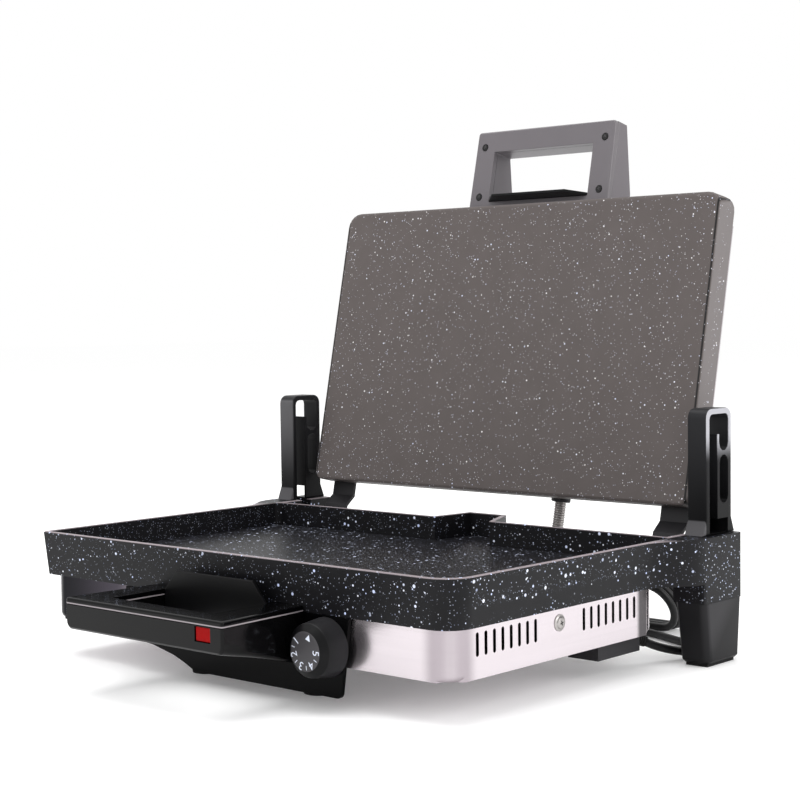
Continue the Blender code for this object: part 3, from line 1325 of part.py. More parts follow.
def knob_pieces():
    face = KNOB_FACE_RADIUS
    profile = [(0, KNOB_LENGTH), (face - RIM_EDGE, KNOB_LENGTH), (face, KNOB_LENGTH - RIM_EDGE / 2),
               (KNOB_RADIUS, KNOB_LENGTH - KNOB_CHAMFER), (KNOB_BASE_RADIUS, FIT_GAP), (SHAFT_COLLAR, FIT_GAP),
               (SHAFT_RADIUS + FIT_GAP, FIT_GAP), (SHAFT_RADIUS + FIT_GAP, KNOB_BORE_DEPTH), (0, KNOB_BORE_DEPTH)]
    turned("control_knob", profile, (0, 0, 0), (0, -1, 0), "satin_plastic", KNOB, steps=KNOB_STEPS)
    ends = ((0, SHAFT_SEAT + PAN_FRONT - PANEL_FRONT, 0), (0, -KNOB_BORE_DEPTH + FIT_GAP, 0))
    rods("thermostat_shaft", [ends], SHAFT_RADIUS, "plated_steel", KNOB)


# Lid


def hinge_pin(side):
    name = "right_hinge_pin" if side > 0 else "left_hinge_pin"
    low, high = span(side, PIN_INNER, PIN_OUTER)
    return rods(name, [((low, 0, 0), (high, 0, 0))], PIN_RADIUS, "plated_steel", FLOAT, ROUND_STEPS)


def plate_outline(inwards, spread):
    low, top = PLATE_CORNER - inwards, PLATE_TOP_CORNER - inwards
    reach = PLATE_HALF + spread - inwards
    right = arc((reach - low, inwards + low), low, -90, 0)
    return both_sides(right + arc((reach - top, PLATE_LENGTH - inwards - top), top, 0, 90))


def arm_screw_places():
    z = -COVER_MOUTH - ARM_THICKNESS - 2 * FIT_GAP - SCREW_HEAD
    return [(side * (ARM_INNER + ARM_WIDTH / 2), ARM_SCREW_TAB, z) for side in (1, -1)]


def foot_place_pairs():
    z = -COVER_MOUTH - COVER_DEPTH + PAN_WALL + SCREW_HEAD + FIT_GAP
    return [(side * HANDLE_SCREW_X, COVER_HIGH - HANDLE_FOOT_SCREW, z) for side in (1, -1)]


def upper_plate():
    turn = PLATE_EDGE * PLATE_EDGE_SHARE
    rings = [(plate_outline(PLATE_EDGE, 0), 0), (plate_outline(turn, 0), -turn),
             (plate_outline(0, PLATE_DRAFT * PLATE_DRAFT_SHARE), -PLATE_EDGE),
             (plate_outline(0, PLATE_DRAFT), -PLATE_THICKNESS)]
    plate = loft("upper_plate", rings, "XY", "granite_brown", LID, smooth=True)
    outer = PLATE_HALF - PLATE_RIM
    right = [(BOSS_INNER, PLATE_RIM), (BOSS_INNER, BOSS_LENGTH), (outer, BOSS_LENGTH),
             (outer, PLATE_LENGTH - PLATE_RIM)]
    cut(plate, prism("plate_pocket", both_sides(right), -PLATE_THICKNESS - CUT_OVERRUN, -PLATE_FACE_WALL, "XY",
                    None, LID))
    return screw_holes(plate, "plate_arm_holes", arm_screw_places(), (0, 0, 1), LID)


def lid_cover():
    outline = rounded(-COVER_HALF, COVER_HALF, COVER_LOW, COVER_HIGH, COVER_CORNER)
    closed = -COVER_MOUTH - COVER_DEPTH
    cover = pan_shell("lid_cover", outline, -COVER_MOUTH, closed, COVER_EDGE, COVER_DRAFT, COVER_WALL,
                      "brushed_steel", LID)
    for side in (1, -1):
        low, high = span(side, ARM_INNER - 3 * FIT_GAP, ARM_INNER + ARM_WIDTH + 3 * FIT_GAP)
        cut(cover, box(f"arm_notch_{side}", (low, -CUT_OVERRUN, -COVER_MOUTH - ARM_THICKNESS - 2 * FIT_GAP),
                       (high, COVER_LOW + COVER_CORNER, -COVER_MOUTH + CUT_OVERRUN), None, LID))
    bored(cover, "gland_hole", [(CONDUIT_X, 0, -CONDUIT_BEHIND_FACE)], (0, 1, 0), GLAND_NECK_RADIUS + FIT_GAP,
          GLAND_NECK + 2 * CUT_OVERRUN, LID)
    return screw_holes(cover, "cover_foot_holes", foot_place_pairs(), (0, 0, -1), LID)


def upper_heating():
    height = -PLATE_FACE_WALL - FIT_GAP - ELEMENT_RADIUS
    tube("upper_heating_element", element_route(UPPER_ELEMENT_LOW, UPPER_ELEMENT_HIGH, height), ELEMENT_RADIUS,
         "element_steel", LID)


def handle_screw_places():
    z = -LID_HANDLE_FACE + FIT_GAP
    heights = (COVER_HIGH + HANDLE_SCREW_NEAR, COVER_HIGH + HANDLE_SCREW_FAR)
    return [(side * HANDLE_SCREW_X, y, z) for side in (1, -1) for y in heights]


def lid_handle_outline():
    end = LID_HANDLE_END
    corner = LID_HANDLE_CORNER
    low = COVER_HIGH + FIT_GAP
    right = [(GRIP_HALF + LID_HANDLE_ROOT_SIDE, low)]
    right += arc((LID_HANDLE_HALF - corner, end - corner), corner, 0, 90, 4)
    return both_sides(right)


def lid_grip(name, low, high):
    hole = rounded(-GRIP_HALF, GRIP_HALF, LID_GRIP_LOW, LID_GRIP_LOW + LID_GRIP_DEPTH, GRIP_CORNER, 2)
    return prism(name, hole, low, high, "XY", None, LID)


def head_recesses(obj, name):
    run = Vector((0, 0, -1))
    ends = [(Vector(place) - run * CUT_OVERRUN, Vector(place) + run * (SCREW_HEAD + FIT_GAP))
            for place in handle_screw_places()]
    return cut(obj, rods(name, ends, SCREW_HEAD_RADIUS + SCREW_PLAY, None, LID))


def lid_handle_face_shell():
    low = -LID_HANDLE_FACE - LID_HANDLE_CAP
    shell = soft_slab("lid_handle_face_shell", lid_handle_outline(), low, -LID_HANDLE_FACE, HANDLE_EDGE, "XY",
                      "handle_plastic", LID, (False, True))
    cut(shell, lid_grip("face_grip", low - CUT_OVERRUN, CUT_OVERRUN))
    head_recesses(shell, "face_recesses")
    return screw_holes(shell, "face_holes", handle_screw_places(), (0, 0, -1), LID, LID_HANDLE_SCREW)


def back_profile():
    """Side view of the rear shell: a grip that thickens towards its root, and a foot on the cover."""
    face = -LID_HANDLE_FACE - LID_HANDLE_CAP - FIT_GAP
    under = -COVER_MOUTH - COVER_DEPTH - FIT_GAP
    low = COVER_HIGH + FIT_GAP
    foot = COVER_HIGH - LID_HANDLE_FOOT
    return [(low, face), (low, under), (foot, under), (foot, under - LID_HANDLE_FOOT_TOE),
            (low - LID_HANDLE_CORNER, -LID_HANDLE_ROOT_BACK),
            (COVER_HIGH + LID_HANDLE_ROOT, -LID_HANDLE_ROOT_BACK),
            (LID_HANDLE_END, -LID_HANDLE_TIP_BACK), (LID_HANDLE_END, face)]


def lid_handle_back_shell():
    shell = soft_slab("lid_handle_back_shell", back_profile(), -LID_HANDLE_HALF, LID_HANDLE_HALF, HANDLE_EDGE,
                      "YZ", "handle_plastic", LID)
    cut(shell, lid_grip("back_grip", -2 * LID_HANDLE_ROOT_BACK, CUT_OVERRUN))
    screw_holes(shell, "back_foot_holes", foot_place_pairs(), (0, 0, -1), LID)
    return screw_holes(shell, "back_holes", handle_screw_places(), (0, 0, -1), LID, LID_HANDLE_SCREW)


def lid_finger_guard():
    wide = GRIP_HALF - FIT_GAP
    tail = -LID_HANDLE_FACE - LID_GUARD_TAIL
    right = [(wide, tail), (wide, -LID_HANDLE_FACE), (GRIP_HALF - LID_GUARD_INSET, -LID_GUARD_FACE)]
    low = LID_GRIP_LOW + FIT_GAP
    return prism("lid_finger_guard", both_sides(right), low, low + GUARD_THICKNESS, "XZ", "satin_plastic", LID)


def hinge_arm(side):
    """A bent strap from the plate's rear to the pin, with the barrel that turns on the pin."""
    name = "right_hinge_arm" if side > 0 else "left_hinge_arm"
    pivot = (-LID_EDGE_TO_PIN, -PIN_BEHIND_FACE)
    bends = [(along, ARM_MIDDLE + forward) for along, forward in ARM_BENDS]
    strip = ribbon([(ARM_TAB, ARM_MIDDLE)] + bends, ARM_THICKNESS)
    low, high = span(side, ARM_INNER, ARM_INNER + ARM_WIDTH)
    arm = prism(name, strip, low, high, "YZ", "satin_plastic", LID)
    low, high = span(side, ARM_INNER, BARREL_OUTER)
    join(arm, rods(name + "_barrel", [((low, *pivot), (high, *pivot))], BARREL_RADIUS, None, LID, ROUND_STEPS))
    low, high = span(side, PIN_INNER - FIT_GAP, BARREL_OUTER + CUT_OVERRUN)
    ends = ((low, *pivot), (high, *pivot))
    cut(arm, rods(name + "_bore", [ends], PIN_RADIUS + FIT_GAP, None, LID, ROUND_STEPS))
    places = [place for place in arm_screw_places() if place[0] * side > 0]
    return screw_holes(arm, name + "_holes", places, (0, 0, 1), LID)


def lid_screws():
    screws("hinge_arm_screw", arm_screw_places(), (0, 0, 1), "plated_steel", LID)
    screws("handle_foot_screw", foot_place_pairs(), (0, 0, -1), "plated_steel", LID)
    screws("lid_handle_screw", handle_screw_places(), (0, 0, -1), "black_screw", LID, LID_HANDLE_SCREW)


def settle():
    """Stand the object on z = 0 with its box centred on the origin, the loose cord left out."""
    loose = ("power_cord_run", "cord_hank", "power_cord_tail", "plug", "flexible_conduit")
    bpy.context.view_layer.update()
    depsgraph = bpy.context.evaluated_depsgraph_get()
    spots = []
    for obj in PARTS.objects:
        if obj.type == "MESH" and obj.name not in loose:
            shape = obj.evaluated_get(depsgraph)
            spots += [obj.matrix_world @ vert.co for vert in shape.data.vertices]
    low = [min(spot[axis] for spot in spots) for axis in range(3)]
    high = [max(spot[axis] for spot in spots) for axis in range(3)]
    ROOT.location = (-(low[0] + high[0]) / 2, -(low[1] + high[1]) / 2, -low[2])


def build():
    cooking_tray()
    base_pan()
    lower_heating()
    thermostat()
    control_panel()
    front_handle_upper_shell()
    front_handle_lower_shell()
    front_finger_guard()
    pilot_light()
    for side in (1, -1):
        leg(side)
        hinge_post(side)
        hinge_pin(side)
        hinge_arm(side)
        rear_foot_pad(side)
        front_foot(side)
    base_screws()
    cord_entry()
    strain_relief()
    cords()
    plug()
    gland("conduit_grommet", Vector(GROMMET_SEAT) + Vector((0, FIT_GAP, 0)), (0, 1, 0))
    gland("lid_conduit_gland", (CONDUIT_X, COVER_LOW - FIT_GAP, -CONDUIT_BEHIND_FACE), (0, -1, 0), LID)
    flexible_conduit()
    knob_pieces()
    upper_plate()
    lid_cover()
    upper_heating()
    lid_handle_face_shell()
    lid_handle_back_shell()
    lid_finger_guard()
    lid_screws()
    settle()


build()
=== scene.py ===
"""Looks of the sandwich maker: camera, light, mains cord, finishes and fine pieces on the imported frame.

Lengths are in metres. Setbacks count from the tray's front edge, as in the part's source, and the places
that a finish changes at are coordinates of the frame.
"""

import math

import bmesh
import bpy
from mathutils import Matrix, Vector
from mathutils.geometry import interpolate_bezier


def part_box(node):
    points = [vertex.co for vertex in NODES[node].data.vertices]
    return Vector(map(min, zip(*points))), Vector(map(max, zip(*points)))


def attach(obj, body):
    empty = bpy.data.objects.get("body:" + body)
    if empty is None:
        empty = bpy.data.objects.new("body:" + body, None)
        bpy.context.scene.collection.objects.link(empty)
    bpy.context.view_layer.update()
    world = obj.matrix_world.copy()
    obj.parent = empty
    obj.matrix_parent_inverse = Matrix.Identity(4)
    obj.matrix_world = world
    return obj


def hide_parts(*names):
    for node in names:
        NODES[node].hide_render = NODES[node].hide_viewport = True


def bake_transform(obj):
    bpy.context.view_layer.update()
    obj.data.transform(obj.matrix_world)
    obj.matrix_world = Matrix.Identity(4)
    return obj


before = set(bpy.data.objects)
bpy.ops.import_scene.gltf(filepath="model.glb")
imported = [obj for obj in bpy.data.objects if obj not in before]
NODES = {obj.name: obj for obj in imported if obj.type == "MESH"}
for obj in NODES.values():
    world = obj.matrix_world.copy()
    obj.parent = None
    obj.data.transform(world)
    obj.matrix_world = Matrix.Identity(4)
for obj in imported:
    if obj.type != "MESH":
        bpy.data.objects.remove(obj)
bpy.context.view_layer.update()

# Places from the part's source: the tray's front edge and rim, the hinge, the open lid, the knob and the pan
FRONT = -0.1588157713
RIM = 0.0950
FIT_GAP = 0.0003
HINGE = Vector((0.0, FRONT + 0.27853, 0.08038))
OPEN_ANGLE = 102.24
LID_EDGE_TO_PIN = 0.03403
PIN_BEHIND_FACE = 0.00138
LID_PLACE = (Matrix.Translation(HINGE) @ Matrix.Rotation(math.radians(180 - OPEN_ANGLE), 4, "X")
             @ Matrix.Translation((0, LID_EDGE_TO_PIN, PIN_BEHIND_FACE)))
LID_HANDLE_FACE = 0.0220
KNOB_PLACE = Vector((0.0957, FRONT + 0.0020, 0.0410))
PAN_REAR = FRONT + 0.2334
PLATE_HALF = 0.1920

# Camera: where it stands, its angles in degrees, its lens in millimetres and the shift of its frame
CAMERA_PLACE = (0.87823, FRONT - 0.80051, RIM + 0.16299)
CAMERA_YAW = 41.74
CAMERA_PITCH = 3.17
CAMERA_ROLL = 0.71
CAMERA_LENS = 77.72
CAMERA_SENSOR = 36
CAMERA_SHIFT = (0.0005, 0.0120)
CAMERA_REACH = 100

# Mains cord: its strain relief, its points to the hank and to the plug, counted from the entry, and the hank
CORD_DIAMETER = 0.0062
CORD_RADIUS = CORD_DIAMETER / 2
CORD_STEP = 0.004
ENTRY = Vector((0.1730, FRONT + 0.2315, 0))
RELIEF_RISE = 0.0212
RELIEF_BEND = 0.0480
RELIEF_SWEEP = 26
RELIEF_ASIDE_SHARE = 0.6
RELIEF_ROOT_RADIUS = 0.0062
RELIEF_TIP_RADIUS = 0.0040
RELIEF_STEPS = 60
GROOVE_SHARE = 0.84
GROOVE_PITCH = 7
RIDGE_STEPS = 5
GROOVED_FROM, GROOVED_TO = 0.12, 0.93
CORD_TO_HANK = (
    (0.0072, 0.0335, 0.0110),
    (0.0120, 0.0420, 0.0082),
    (0.0160, 0.0515, 0.0060),
    (0.0180, 0.0620, 0.0045),
    (0.0165, 0.0730, 0.0036),
    (0.0105, 0.0825, 0.0034),
    (0.0000, 0.0895, 0.0034),
    (-0.0130, 0.0945, 0.0034),
    (-0.0270, 0.1005, 0.0034),
    (-0.0404, 0.1065, 0.0034),
    (-0.0534, 0.1110, 0.0034),
    (-0.0730, 0.1160, 0.0034),
    (-0.0910, 0.1225, 0.0034),
    (-0.1050, 0.1267, 0.0034),
)
HANK_TO_PLUG = (
    (-0.1650, 0.1543, 0.0034),
    (-0.1753, 0.1533, 0.0051),
    (-0.1855, 0.1507, 0.0109),
    (-0.1958, 0.1478, 0.0166),
    (-0.2065, 0.1463, 0.0183),
)
PLUG_NECK = Vector((-0.2180, 0.1463, 0.0183))
HANK_PLACE = Vector((-0.1515, 0.1174, 0.0221))
HANK_RUN = 0.0940
HANK_FOLD_RADIUS = 0.0187
HANK_PITCH = 0.0078
HANK_LEAN = math.tan(math.radians(30))
HANK_FIRST_TURN, HANK_LAST_TURN = 0.216, 3.30
HANK_STEPS = 90

# Tie: a flat band round the hank, whose outline is a superellipse, with its middle and half depth in turns
TIE_WIDTH = 0.0090
TIE_THICKNESS = 0.0007
TIE_PLAY = 0.0006
TIE_MIDDLE_TURN = 1.9
TIE_HALF_TURNS = 1.62
TIE_POWER = 5
TIE_STEPS = 64
TABLE_GAP = 0.0001

# Conduit: its bends are counted from the hinge's axis at rest, and a rib's rings are shares of its radius.
CONDUIT_X = 0.0570
CONDUIT_Z = 0.0500
CONDUIT_RADIUS = 0.0048
CONDUIT_RIBS = 56
CONDUIT_STEP = 0.003
CONDUIT_BEHIND_FACE = 0.0290
RIB_SHARES = (1.0, 0.985, 0.93, 0.85, 0.93, 0.985)
GLAND_REACH = 0.0051
COVER_LOW = 0.0030
CONDUIT_BENDS = (
    (-0.0295, -0.0311),
    (-0.0135, -0.0321),
    (0.0045, -0.0284),
    (0.0205, -0.0154),
    (0.0287, 0.0036),
    (0.0320, 0.0166),
)

# Knob: (radius, distance from the panel) from the middle of the face to the bottom of the bore, and what
# counts as its face: how far out a polygon is and how squarely it faces the user
KNOB_LENGTH = 0.0205
KNOB_FACE_FROM = 0.0200
KNOB_FACE_LEVEL = 0.9
KNOB_PROFILE = (
    (0.0, KNOB_LENGTH),
    (0.0119, KNOB_LENGTH),
    (0.0126, 0.02042),
    (0.0132, 0.02015),
    (0.0138, 0.0196),
    (0.0176, 0.0166),
    (0.01795, 0.01625),
    (0.0181, 0.0158),
    (0.0199, 0.0004),
    (0.0197, 0.0003),
    (0.0050, 0.0003),
    (0.0033, 0.0003),
    (0.0033, 0.0150),
    (0.0, 0.0150),
)

# Dial on the knob's face, with angles in degrees clockwise from its top
PRINT_THICKNESS = 0.00004
PRINT_DISTANCE = KNOB_LENGTH + 0.00003
DIGIT_SIZE = 0.0080
DIGIT_RADIUS = 0.0098
FIRST_DIGIT_ANGLE = 90
DIGIT_ANGLE = 55
TICK_SIZE = (0.00052, 0.0028, PRINT_THICKNESS)
TICK_RADIUS = 0.0106
POINTER_CORNERS = ((-0.0022, -0.0019), (0.0022, -0.0019), (0.0, 0.0022))
POINTER_RADIUS = 0.0100
POINTER_ANGLE = 20

# Screws: the dome as (share of the head's radius, height), and the crosses as (length, width) and degrees
SCREW_RADIUS = 0.0019
WASHER_THICKNESS = 0.0005
DOME_HEIGHT = 0.0017
DOME = ((0.76, 0.0002), (0.72, 0.0004), (0.62, 0.0012), (0.36, 0.0016), (0.0, DOME_HEIGHT))
RECESS_SIZE = (0.0034, 0.0008)
RECESS_SINK = 0.00002
RECESS_TURN = 17.1887
SLOT_SIZE = (0.0030, 0.0007)
SLOT_LIFT = 0.00004
SLOT_TURN = 20
CROSS_THICKNESS = 0.0001

# Dressing of the pieces: softened edges and, in degrees, the angles that stay crisp
FINE_EDGE = 0.0004
GUARD_EDGE = 0.0005
LENS_EDGE = 0.0003
EDGE_SEGMENTS = 3
CRISP_ANGLE = 32
SHARP_ANGLE = 35
WELD_DISTANCE = 0.00001
LARGE_FACE_WEIGHT = 80

# Studio: lamps as name, place, side and power, and the strengths of the world and of the floor's own light
LAMPS = (
    ("top_softbox", (-0.3, -0.2, 2.2), 2.0, 34),
    ("right_softbox", (2.0, 0.5, 0.9), 1.4, 20),
    ("front_fill", (-0.8, -2.4, 1.1), 1.4, 10),
)
LAMP_AIM = Vector((0, 0, 0.15))
ROOM_STRENGTH = 0.90
BACKDROP_STRENGTH = 1.0
FLOOR_GLOW = 0.13
FLOOR_REACH = 12
WHITE = (1, 1, 1, 1)


# Camera at the photograph's place

def photo_camera():
    yaw, pitch, roll = (math.radians(angle) for angle in (CAMERA_YAW, CAMERA_PITCH, CAMERA_ROLL))
    flat = math.cos(pitch)
    forward = Vector((-math.sin(yaw) * flat, math.cos(yaw) * flat, -math.sin(pitch)))
    level = Vector((math.cos(yaw), math.sin(yaw), 0))
    down = forward.cross(level)
    right = level * math.cos(roll) + down * math.sin(roll)
    down = down * math.cos(roll) - level * math.sin(roll)
    place = Matrix((right, -down, -forward)).transposed().to_4x4()
    place.translation = CAMERA_PLACE
    data = bpy.data.cameras.new("photo_camera")
    data.sensor_width = CAMERA_SENSOR
    data.lens = CAMERA_LENS
    data.shift_x, data.shift_y = CAMERA_SHIFT
    data.clip_end = CAMERA_REACH
    camera = bpy.data.objects.new("photo_camera", data)
    camera.matrix_world = place
    bpy.context.scene.collection.objects.link(camera)
    bpy.context.scene.camera = camera


photo_camera()


# Helpers

def link(name, mesh, material, place=None, smooth=True):
    """Object of a mesh with its material, at a place."""
    obj = bpy.data.objects.new(name, mesh)
    bpy.context.scene.collection.objects.link(obj)
    mesh.materials.append(material)
    if smooth:
        mesh.shade_smooth()
        mesh.set_sharp_from_angle(angle=math.radians(SHARP_ANGLE))
    if place is not None:
        obj.matrix_world = place
    return obj


def mesh_of(bm, name):
    mesh = bpy.data.meshes.new(name)
    bm.to_mesh(mesh)
    bm.free()
    return mesh


def join_rings(bm, rings):
    """Faces between rings of the same number of vertices."""
    for one, two in zip(rings, rings[1:]):
        for side in range(len(one)):
            after = (side + 1) % len(one)
            bm.faces.new((one[side], one[after], two[after], two[side]))


def smooth_route(points, step):
    """Points about a step apart on a smooth curve through the given ones."""
    spots = [Vector(point) for point in points]
    slopes = []
    for index in range(len(spots)):
        before = spots[max(index - 1, 0)]
        after = spots[min(index + 1, len(spots) - 1)]
        slopes.append((after - before).normalized())
    route = [spots[0]]
    for index, (one, two) in enumerate(zip(spots, spots[1:])):
        reach = (two - one).length / 3
        count = max(3, round((two - one).length / step) + 1)
        handles = (one, one + slopes[index] * reach, two - slopes[index + 1] * reach, two)
        route += interpolate_bezier(*handles, count)[1:]
    return route


def length_of(route):
    return sum((two - one).length for one, two in zip(route, route[1:]))


def evenly(route, count):
    """The given number of points, at equal distances along a route."""
    total = length_of(route)
    spaced = [route[0].copy()]
    walked = 0.0
    for one, two in zip(route, route[1:]):
        length = (two - one).length
        while len(spaced) < count - 1 and walked + length >= total * len(spaced) / (count - 1):
            share = (total * len(spaced) / (count - 1) - walked) / length
            spaced.append(one.lerp(two, share))
        walked += length
    return spaced + [route[-1].copy()]


def swept(route, radii, sides):
    """Mesh tube along a route, with a radius for each point and both ends closed."""
    bm = bmesh.new()
    aside = (route[1] - route[0]).normalized().orthogonal().normalized()
    rings = []
    for index, spot in enumerate(route):
        before = route[max(index - 1, 0)]
        after = route[min(index + 1, len(route) - 1)]
        run = (after - before).normalized()
        aside = (aside - run * aside.dot(run)).normalized()
        other = run.cross(aside)
        ring = []
        for side in range(sides):
            angle = 2 * math.pi * side / sides
            outwards = aside * math.cos(angle) + other * math.sin(angle)
            ring.append(bm.verts.new(spot + outwards * radii[index]))
        rings.append(ring)
    join_rings(bm, rings)
    bm.faces.new(rings[0][::-1])
    bm.faces.new(rings[-1])
    bmesh.ops.recalc_face_normals(bm, faces=bm.faces)
    return mesh_of(bm, "swept")


def turned(profile, sides):
    """Mesh turned about +Z from (radius, height) pairs, with one vertex where the radius is nothing."""
    bm = bmesh.new()
    rings = []
    for radius, height in profile:
        ring = []
        for side in range(sides if radius > 0 else 1):
            angle = 2 * math.pi * side / sides
            ring.append(bm.verts.new((radius * math.cos(angle), radius * math.sin(angle), height)))
        rings.append(ring)
    for one, two in zip(rings, rings[1:]):
        for side in range(sides):
            after = (side + 1) % sides
            corners = ((one, side), (one, after), (two, after), (two, side))
            kept = list(dict.fromkeys(ring[index % len(ring)] for ring, index in corners))
            if len(kept) > 2:
                bm.faces.new(kept)
    bmesh.ops.recalc_face_normals(bm, faces=bm.faces)
    return mesh_of(bm, "turned")


def boxes(name, *sizes):
    """Mesh of boxes that share one middle."""
    bm = bmesh.new()
    for size in sizes:
        bmesh.ops.create_cube(bm, size=1, matrix=Matrix.Diagonal((*size, 1)))
    return mesh_of(bm, name)


def cross(name, length, width):
    return boxes(name, (length, width, CROSS_THICKNESS), (width, length, CROSS_THICKNESS))


# Materials

class Nodes:
    """Short calls for a material's node tree."""

    def __init__(self, name, colour, roughness, specular=0.5, metallic=0.0):
        self.material = bpy.data.materials.new(name)
        self.material.use_nodes = True
        self.tree = self.material.node_tree
        self.shader = self.tree.nodes["Principled BSDF"]
        self.shader.inputs["Base Color"].default_value = (*colour, 1)
        self.shader.inputs["Roughness"].default_value = roughness
        self.shader.inputs["Metallic"].default_value = metallic
        self.shader.inputs["Specular IOR Level"].default_value = specular
        self.place = self.node("ShaderNodeTexCoord").outputs["Object"]

    def node(self, kind, **values):
        made = self.tree.nodes.new(kind)
        for key, value in values.items():
            setattr(made, key, value)
        return made

    def put(self, value, socket):
        """Links a socket, or sets a number, colour or vector."""
        if isinstance(value, bpy.types.NodeSocket):
            self.tree.links.new(value, socket)
        elif socket.type == "RGBA":
            socket.default_value = (*value, 1)
        else:
            socket.default_value = value

    def math(self, operation, one, two=0.0, three=0.0, clamp=False):
        made = self.node("ShaderNodeMath", operation=operation, use_clamp=clamp)
        for value, socket in zip((one, two, three), made.inputs):
            self.put(value, socket)
        return made.outputs[0]

    def both(self, one, two):
        return self.math("MULTIPLY", one, two)

    def stretched(self, scale):
        made = self.node("ShaderNodeMapping")
        self.put(self.place, made.inputs["Vector"])
        self.put(scale, made.inputs["Scale"])
        return made.outputs[0]

    def noise(self, scale, detail, place=None):
        made = self.node("ShaderNodeTexNoise")
        self.put(place or self.place, made.inputs["Vector"])
        self.put(scale, made.inputs["Scale"])
        self.put(detail, made.inputs["Detail"])
        return made.outputs["Fac"]

    def mix(self, factor, one, two):
        """Mix of two colours; a Mix node's sockets 0, 6 and 7 are its factor and its two colours."""
        made = self.node("ShaderNodeMix", data_type="RGBA")
        self.put(factor, made.inputs[0])
        self.put(one, made.inputs[6])
        self.put(two, made.inputs[7])
        return made.outputs[2]

    def specks(self, scale, most, share):
        """Mask of small round spots of unlike size and strength, and a tint for each.

        About a share of the cells holds a spot, and most is the largest spot's radius, in cells.
        """
        cells = self.node("ShaderNodeTexVoronoi", feature="F1")
        self.put(self.place, cells.inputs["Vector"])
        self.put(scale, cells.inputs["Scale"])
        parts = self.node("ShaderNodeSeparateColor")
        self.put(cells.outputs["Color"], parts.inputs[0])
        chance, light, tint = parts.outputs
        size = self.math("SUBTRACT", chance, 1 - share)
        size = self.math("MULTIPLY", size, most / share)
        inside = self.math("SUBTRACT", size, cells.outputs["Distance"])
        mask = self.math("MULTIPLY", inside, 4 / most, clamp=True)
        strength = self.math("MULTIPLY_ADD", light, 0.75, 0.25)
        return self.both(mask, strength), tint

    def axis(self, name):
        """Coordinate along one axis, in the object's own space: a CAD node's is the frame's, at rest."""
        parts = self.node("ShaderNodeSeparateXYZ")
        self.put(self.place, parts.inputs[0])
        return parts.outputs[name]

    def ramp(self, value, first, last, low=0.0, high=1.0):
        """Smooth step from low at the first value to high at the last."""
        made = self.node("ShaderNodeMapRange", interpolation_type="SMOOTHSTEP")
        self.put(value, made.inputs["Value"])
        for name, number in (("From Min", first), ("From Max", last), ("To Min", low), ("To Max", high)):
            self.put(number, made.inputs[name])
        return made.outputs[0]

    def fall(self, value, first, last, low=0.0):
        return self.ramp(value, first, last, 1.0, low)

    def band(self, value, rise, fall, low=0.0):
        """Mask that is full from the end of one range of a value to the start of another."""
        return self.both(self.ramp(value, *rise), self.fall(value, *fall, low))

    def edges(self, colour, light):
        """Lighter rounded edges, where the moulding's skin catches the light."""
        bent = self.node("ShaderNodeNewGeometry").outputs["Pointiness"]
        return self.mix(self.ramp(bent, 0.515, 0.58, 0.0, 0.8), colour, light)

    def colour(self, value):
        self.put(value, self.shader.inputs["Base Color"])

    def rough(self, skin, middle, spread):
        """Roughness that varies with the skin's noise."""
        varied = self.math("MULTIPLY_ADD", skin, spread, middle - spread / 2)
        self.put(varied, self.shader.inputs["Roughness"])

    def bump(self, height, strength, distance):
        made = self.node("ShaderNodeBump")
        self.put(strength, made.inputs["Strength"])
        self.put(distance, made.inputs["Distance"])
        self.put(height, made.inputs["Height"])
        self.put(made.outputs[0], self.shader.inputs["Normal"])


def granite(work, ground, speck, roughness, layers):
    """Non-stick coating: specks in layers of (scale, largest, share, strength), some of them bluer."""
    bluer = (speck[0] * 0.72, speck[1] * 0.8, speck[2] * 1.06)
    masks = []
    for scale, most, share, strength in layers:
        mask, tint = work.specks(scale, most, share)
        mask = work.math("MULTIPLY", mask, strength)
        ground = work.mix(mask, ground, work.mix(tint, speck, bluer))
        masks.append(mask)
    work.colour(ground)
    raised = masks[0]
    for mask in masks[1:]:
        raised = work.math("MAXIMUM", raised, mask)
    fine = work.noise(scale=1400, detail=2)
    work.rough(fine, middle=roughness, spread=0.12)
    work.bump(work.math("MULTIPLY_ADD", raised, 0.5, fine), strength=0.12, distance=0.00015)
    return work.material


def tray_granite():
    """Black coating with a painted highlight along the top of the rim, left out at the back of its outer
    sides, which are in shade.
    """
    dark, light, painted_rim_highlight = (0.0042, 0.0042, 0.0052), (0.0078, 0.0076, 0.0092), (0.28, 0.24, 0.255)
    roughness = 0.40
    work = Nodes("tray_granite", dark, roughness, specular=0.16)
    ground = work.mix(work.noise(scale=55, detail=4), dark, light)
    # Painted highlight: a pale line along the top of the rim, but not at the back of the outer sides, which
    # are in shade
    top = work.ramp(work.axis("Z"), RIM - 0.0007, RIM - 0.0002)
    within = work.fall(work.math("ABSOLUTE", work.axis("X")), 0.2010, 0.2022)
    before = work.fall(work.axis("Y"), 0.062, 0.085)
    ground = work.mix(work.both(top, work.math("MAXIMUM", within, before)), ground, painted_rim_highlight)
    layers = ((230, 0.33, 0.34, 1.3), (400, 0.31, 0.55, 1.0), (760, 0.34, 0.55, 0.45))
    return granite(work, ground, (0.88, 0.91, 1.0), roughness, layers)


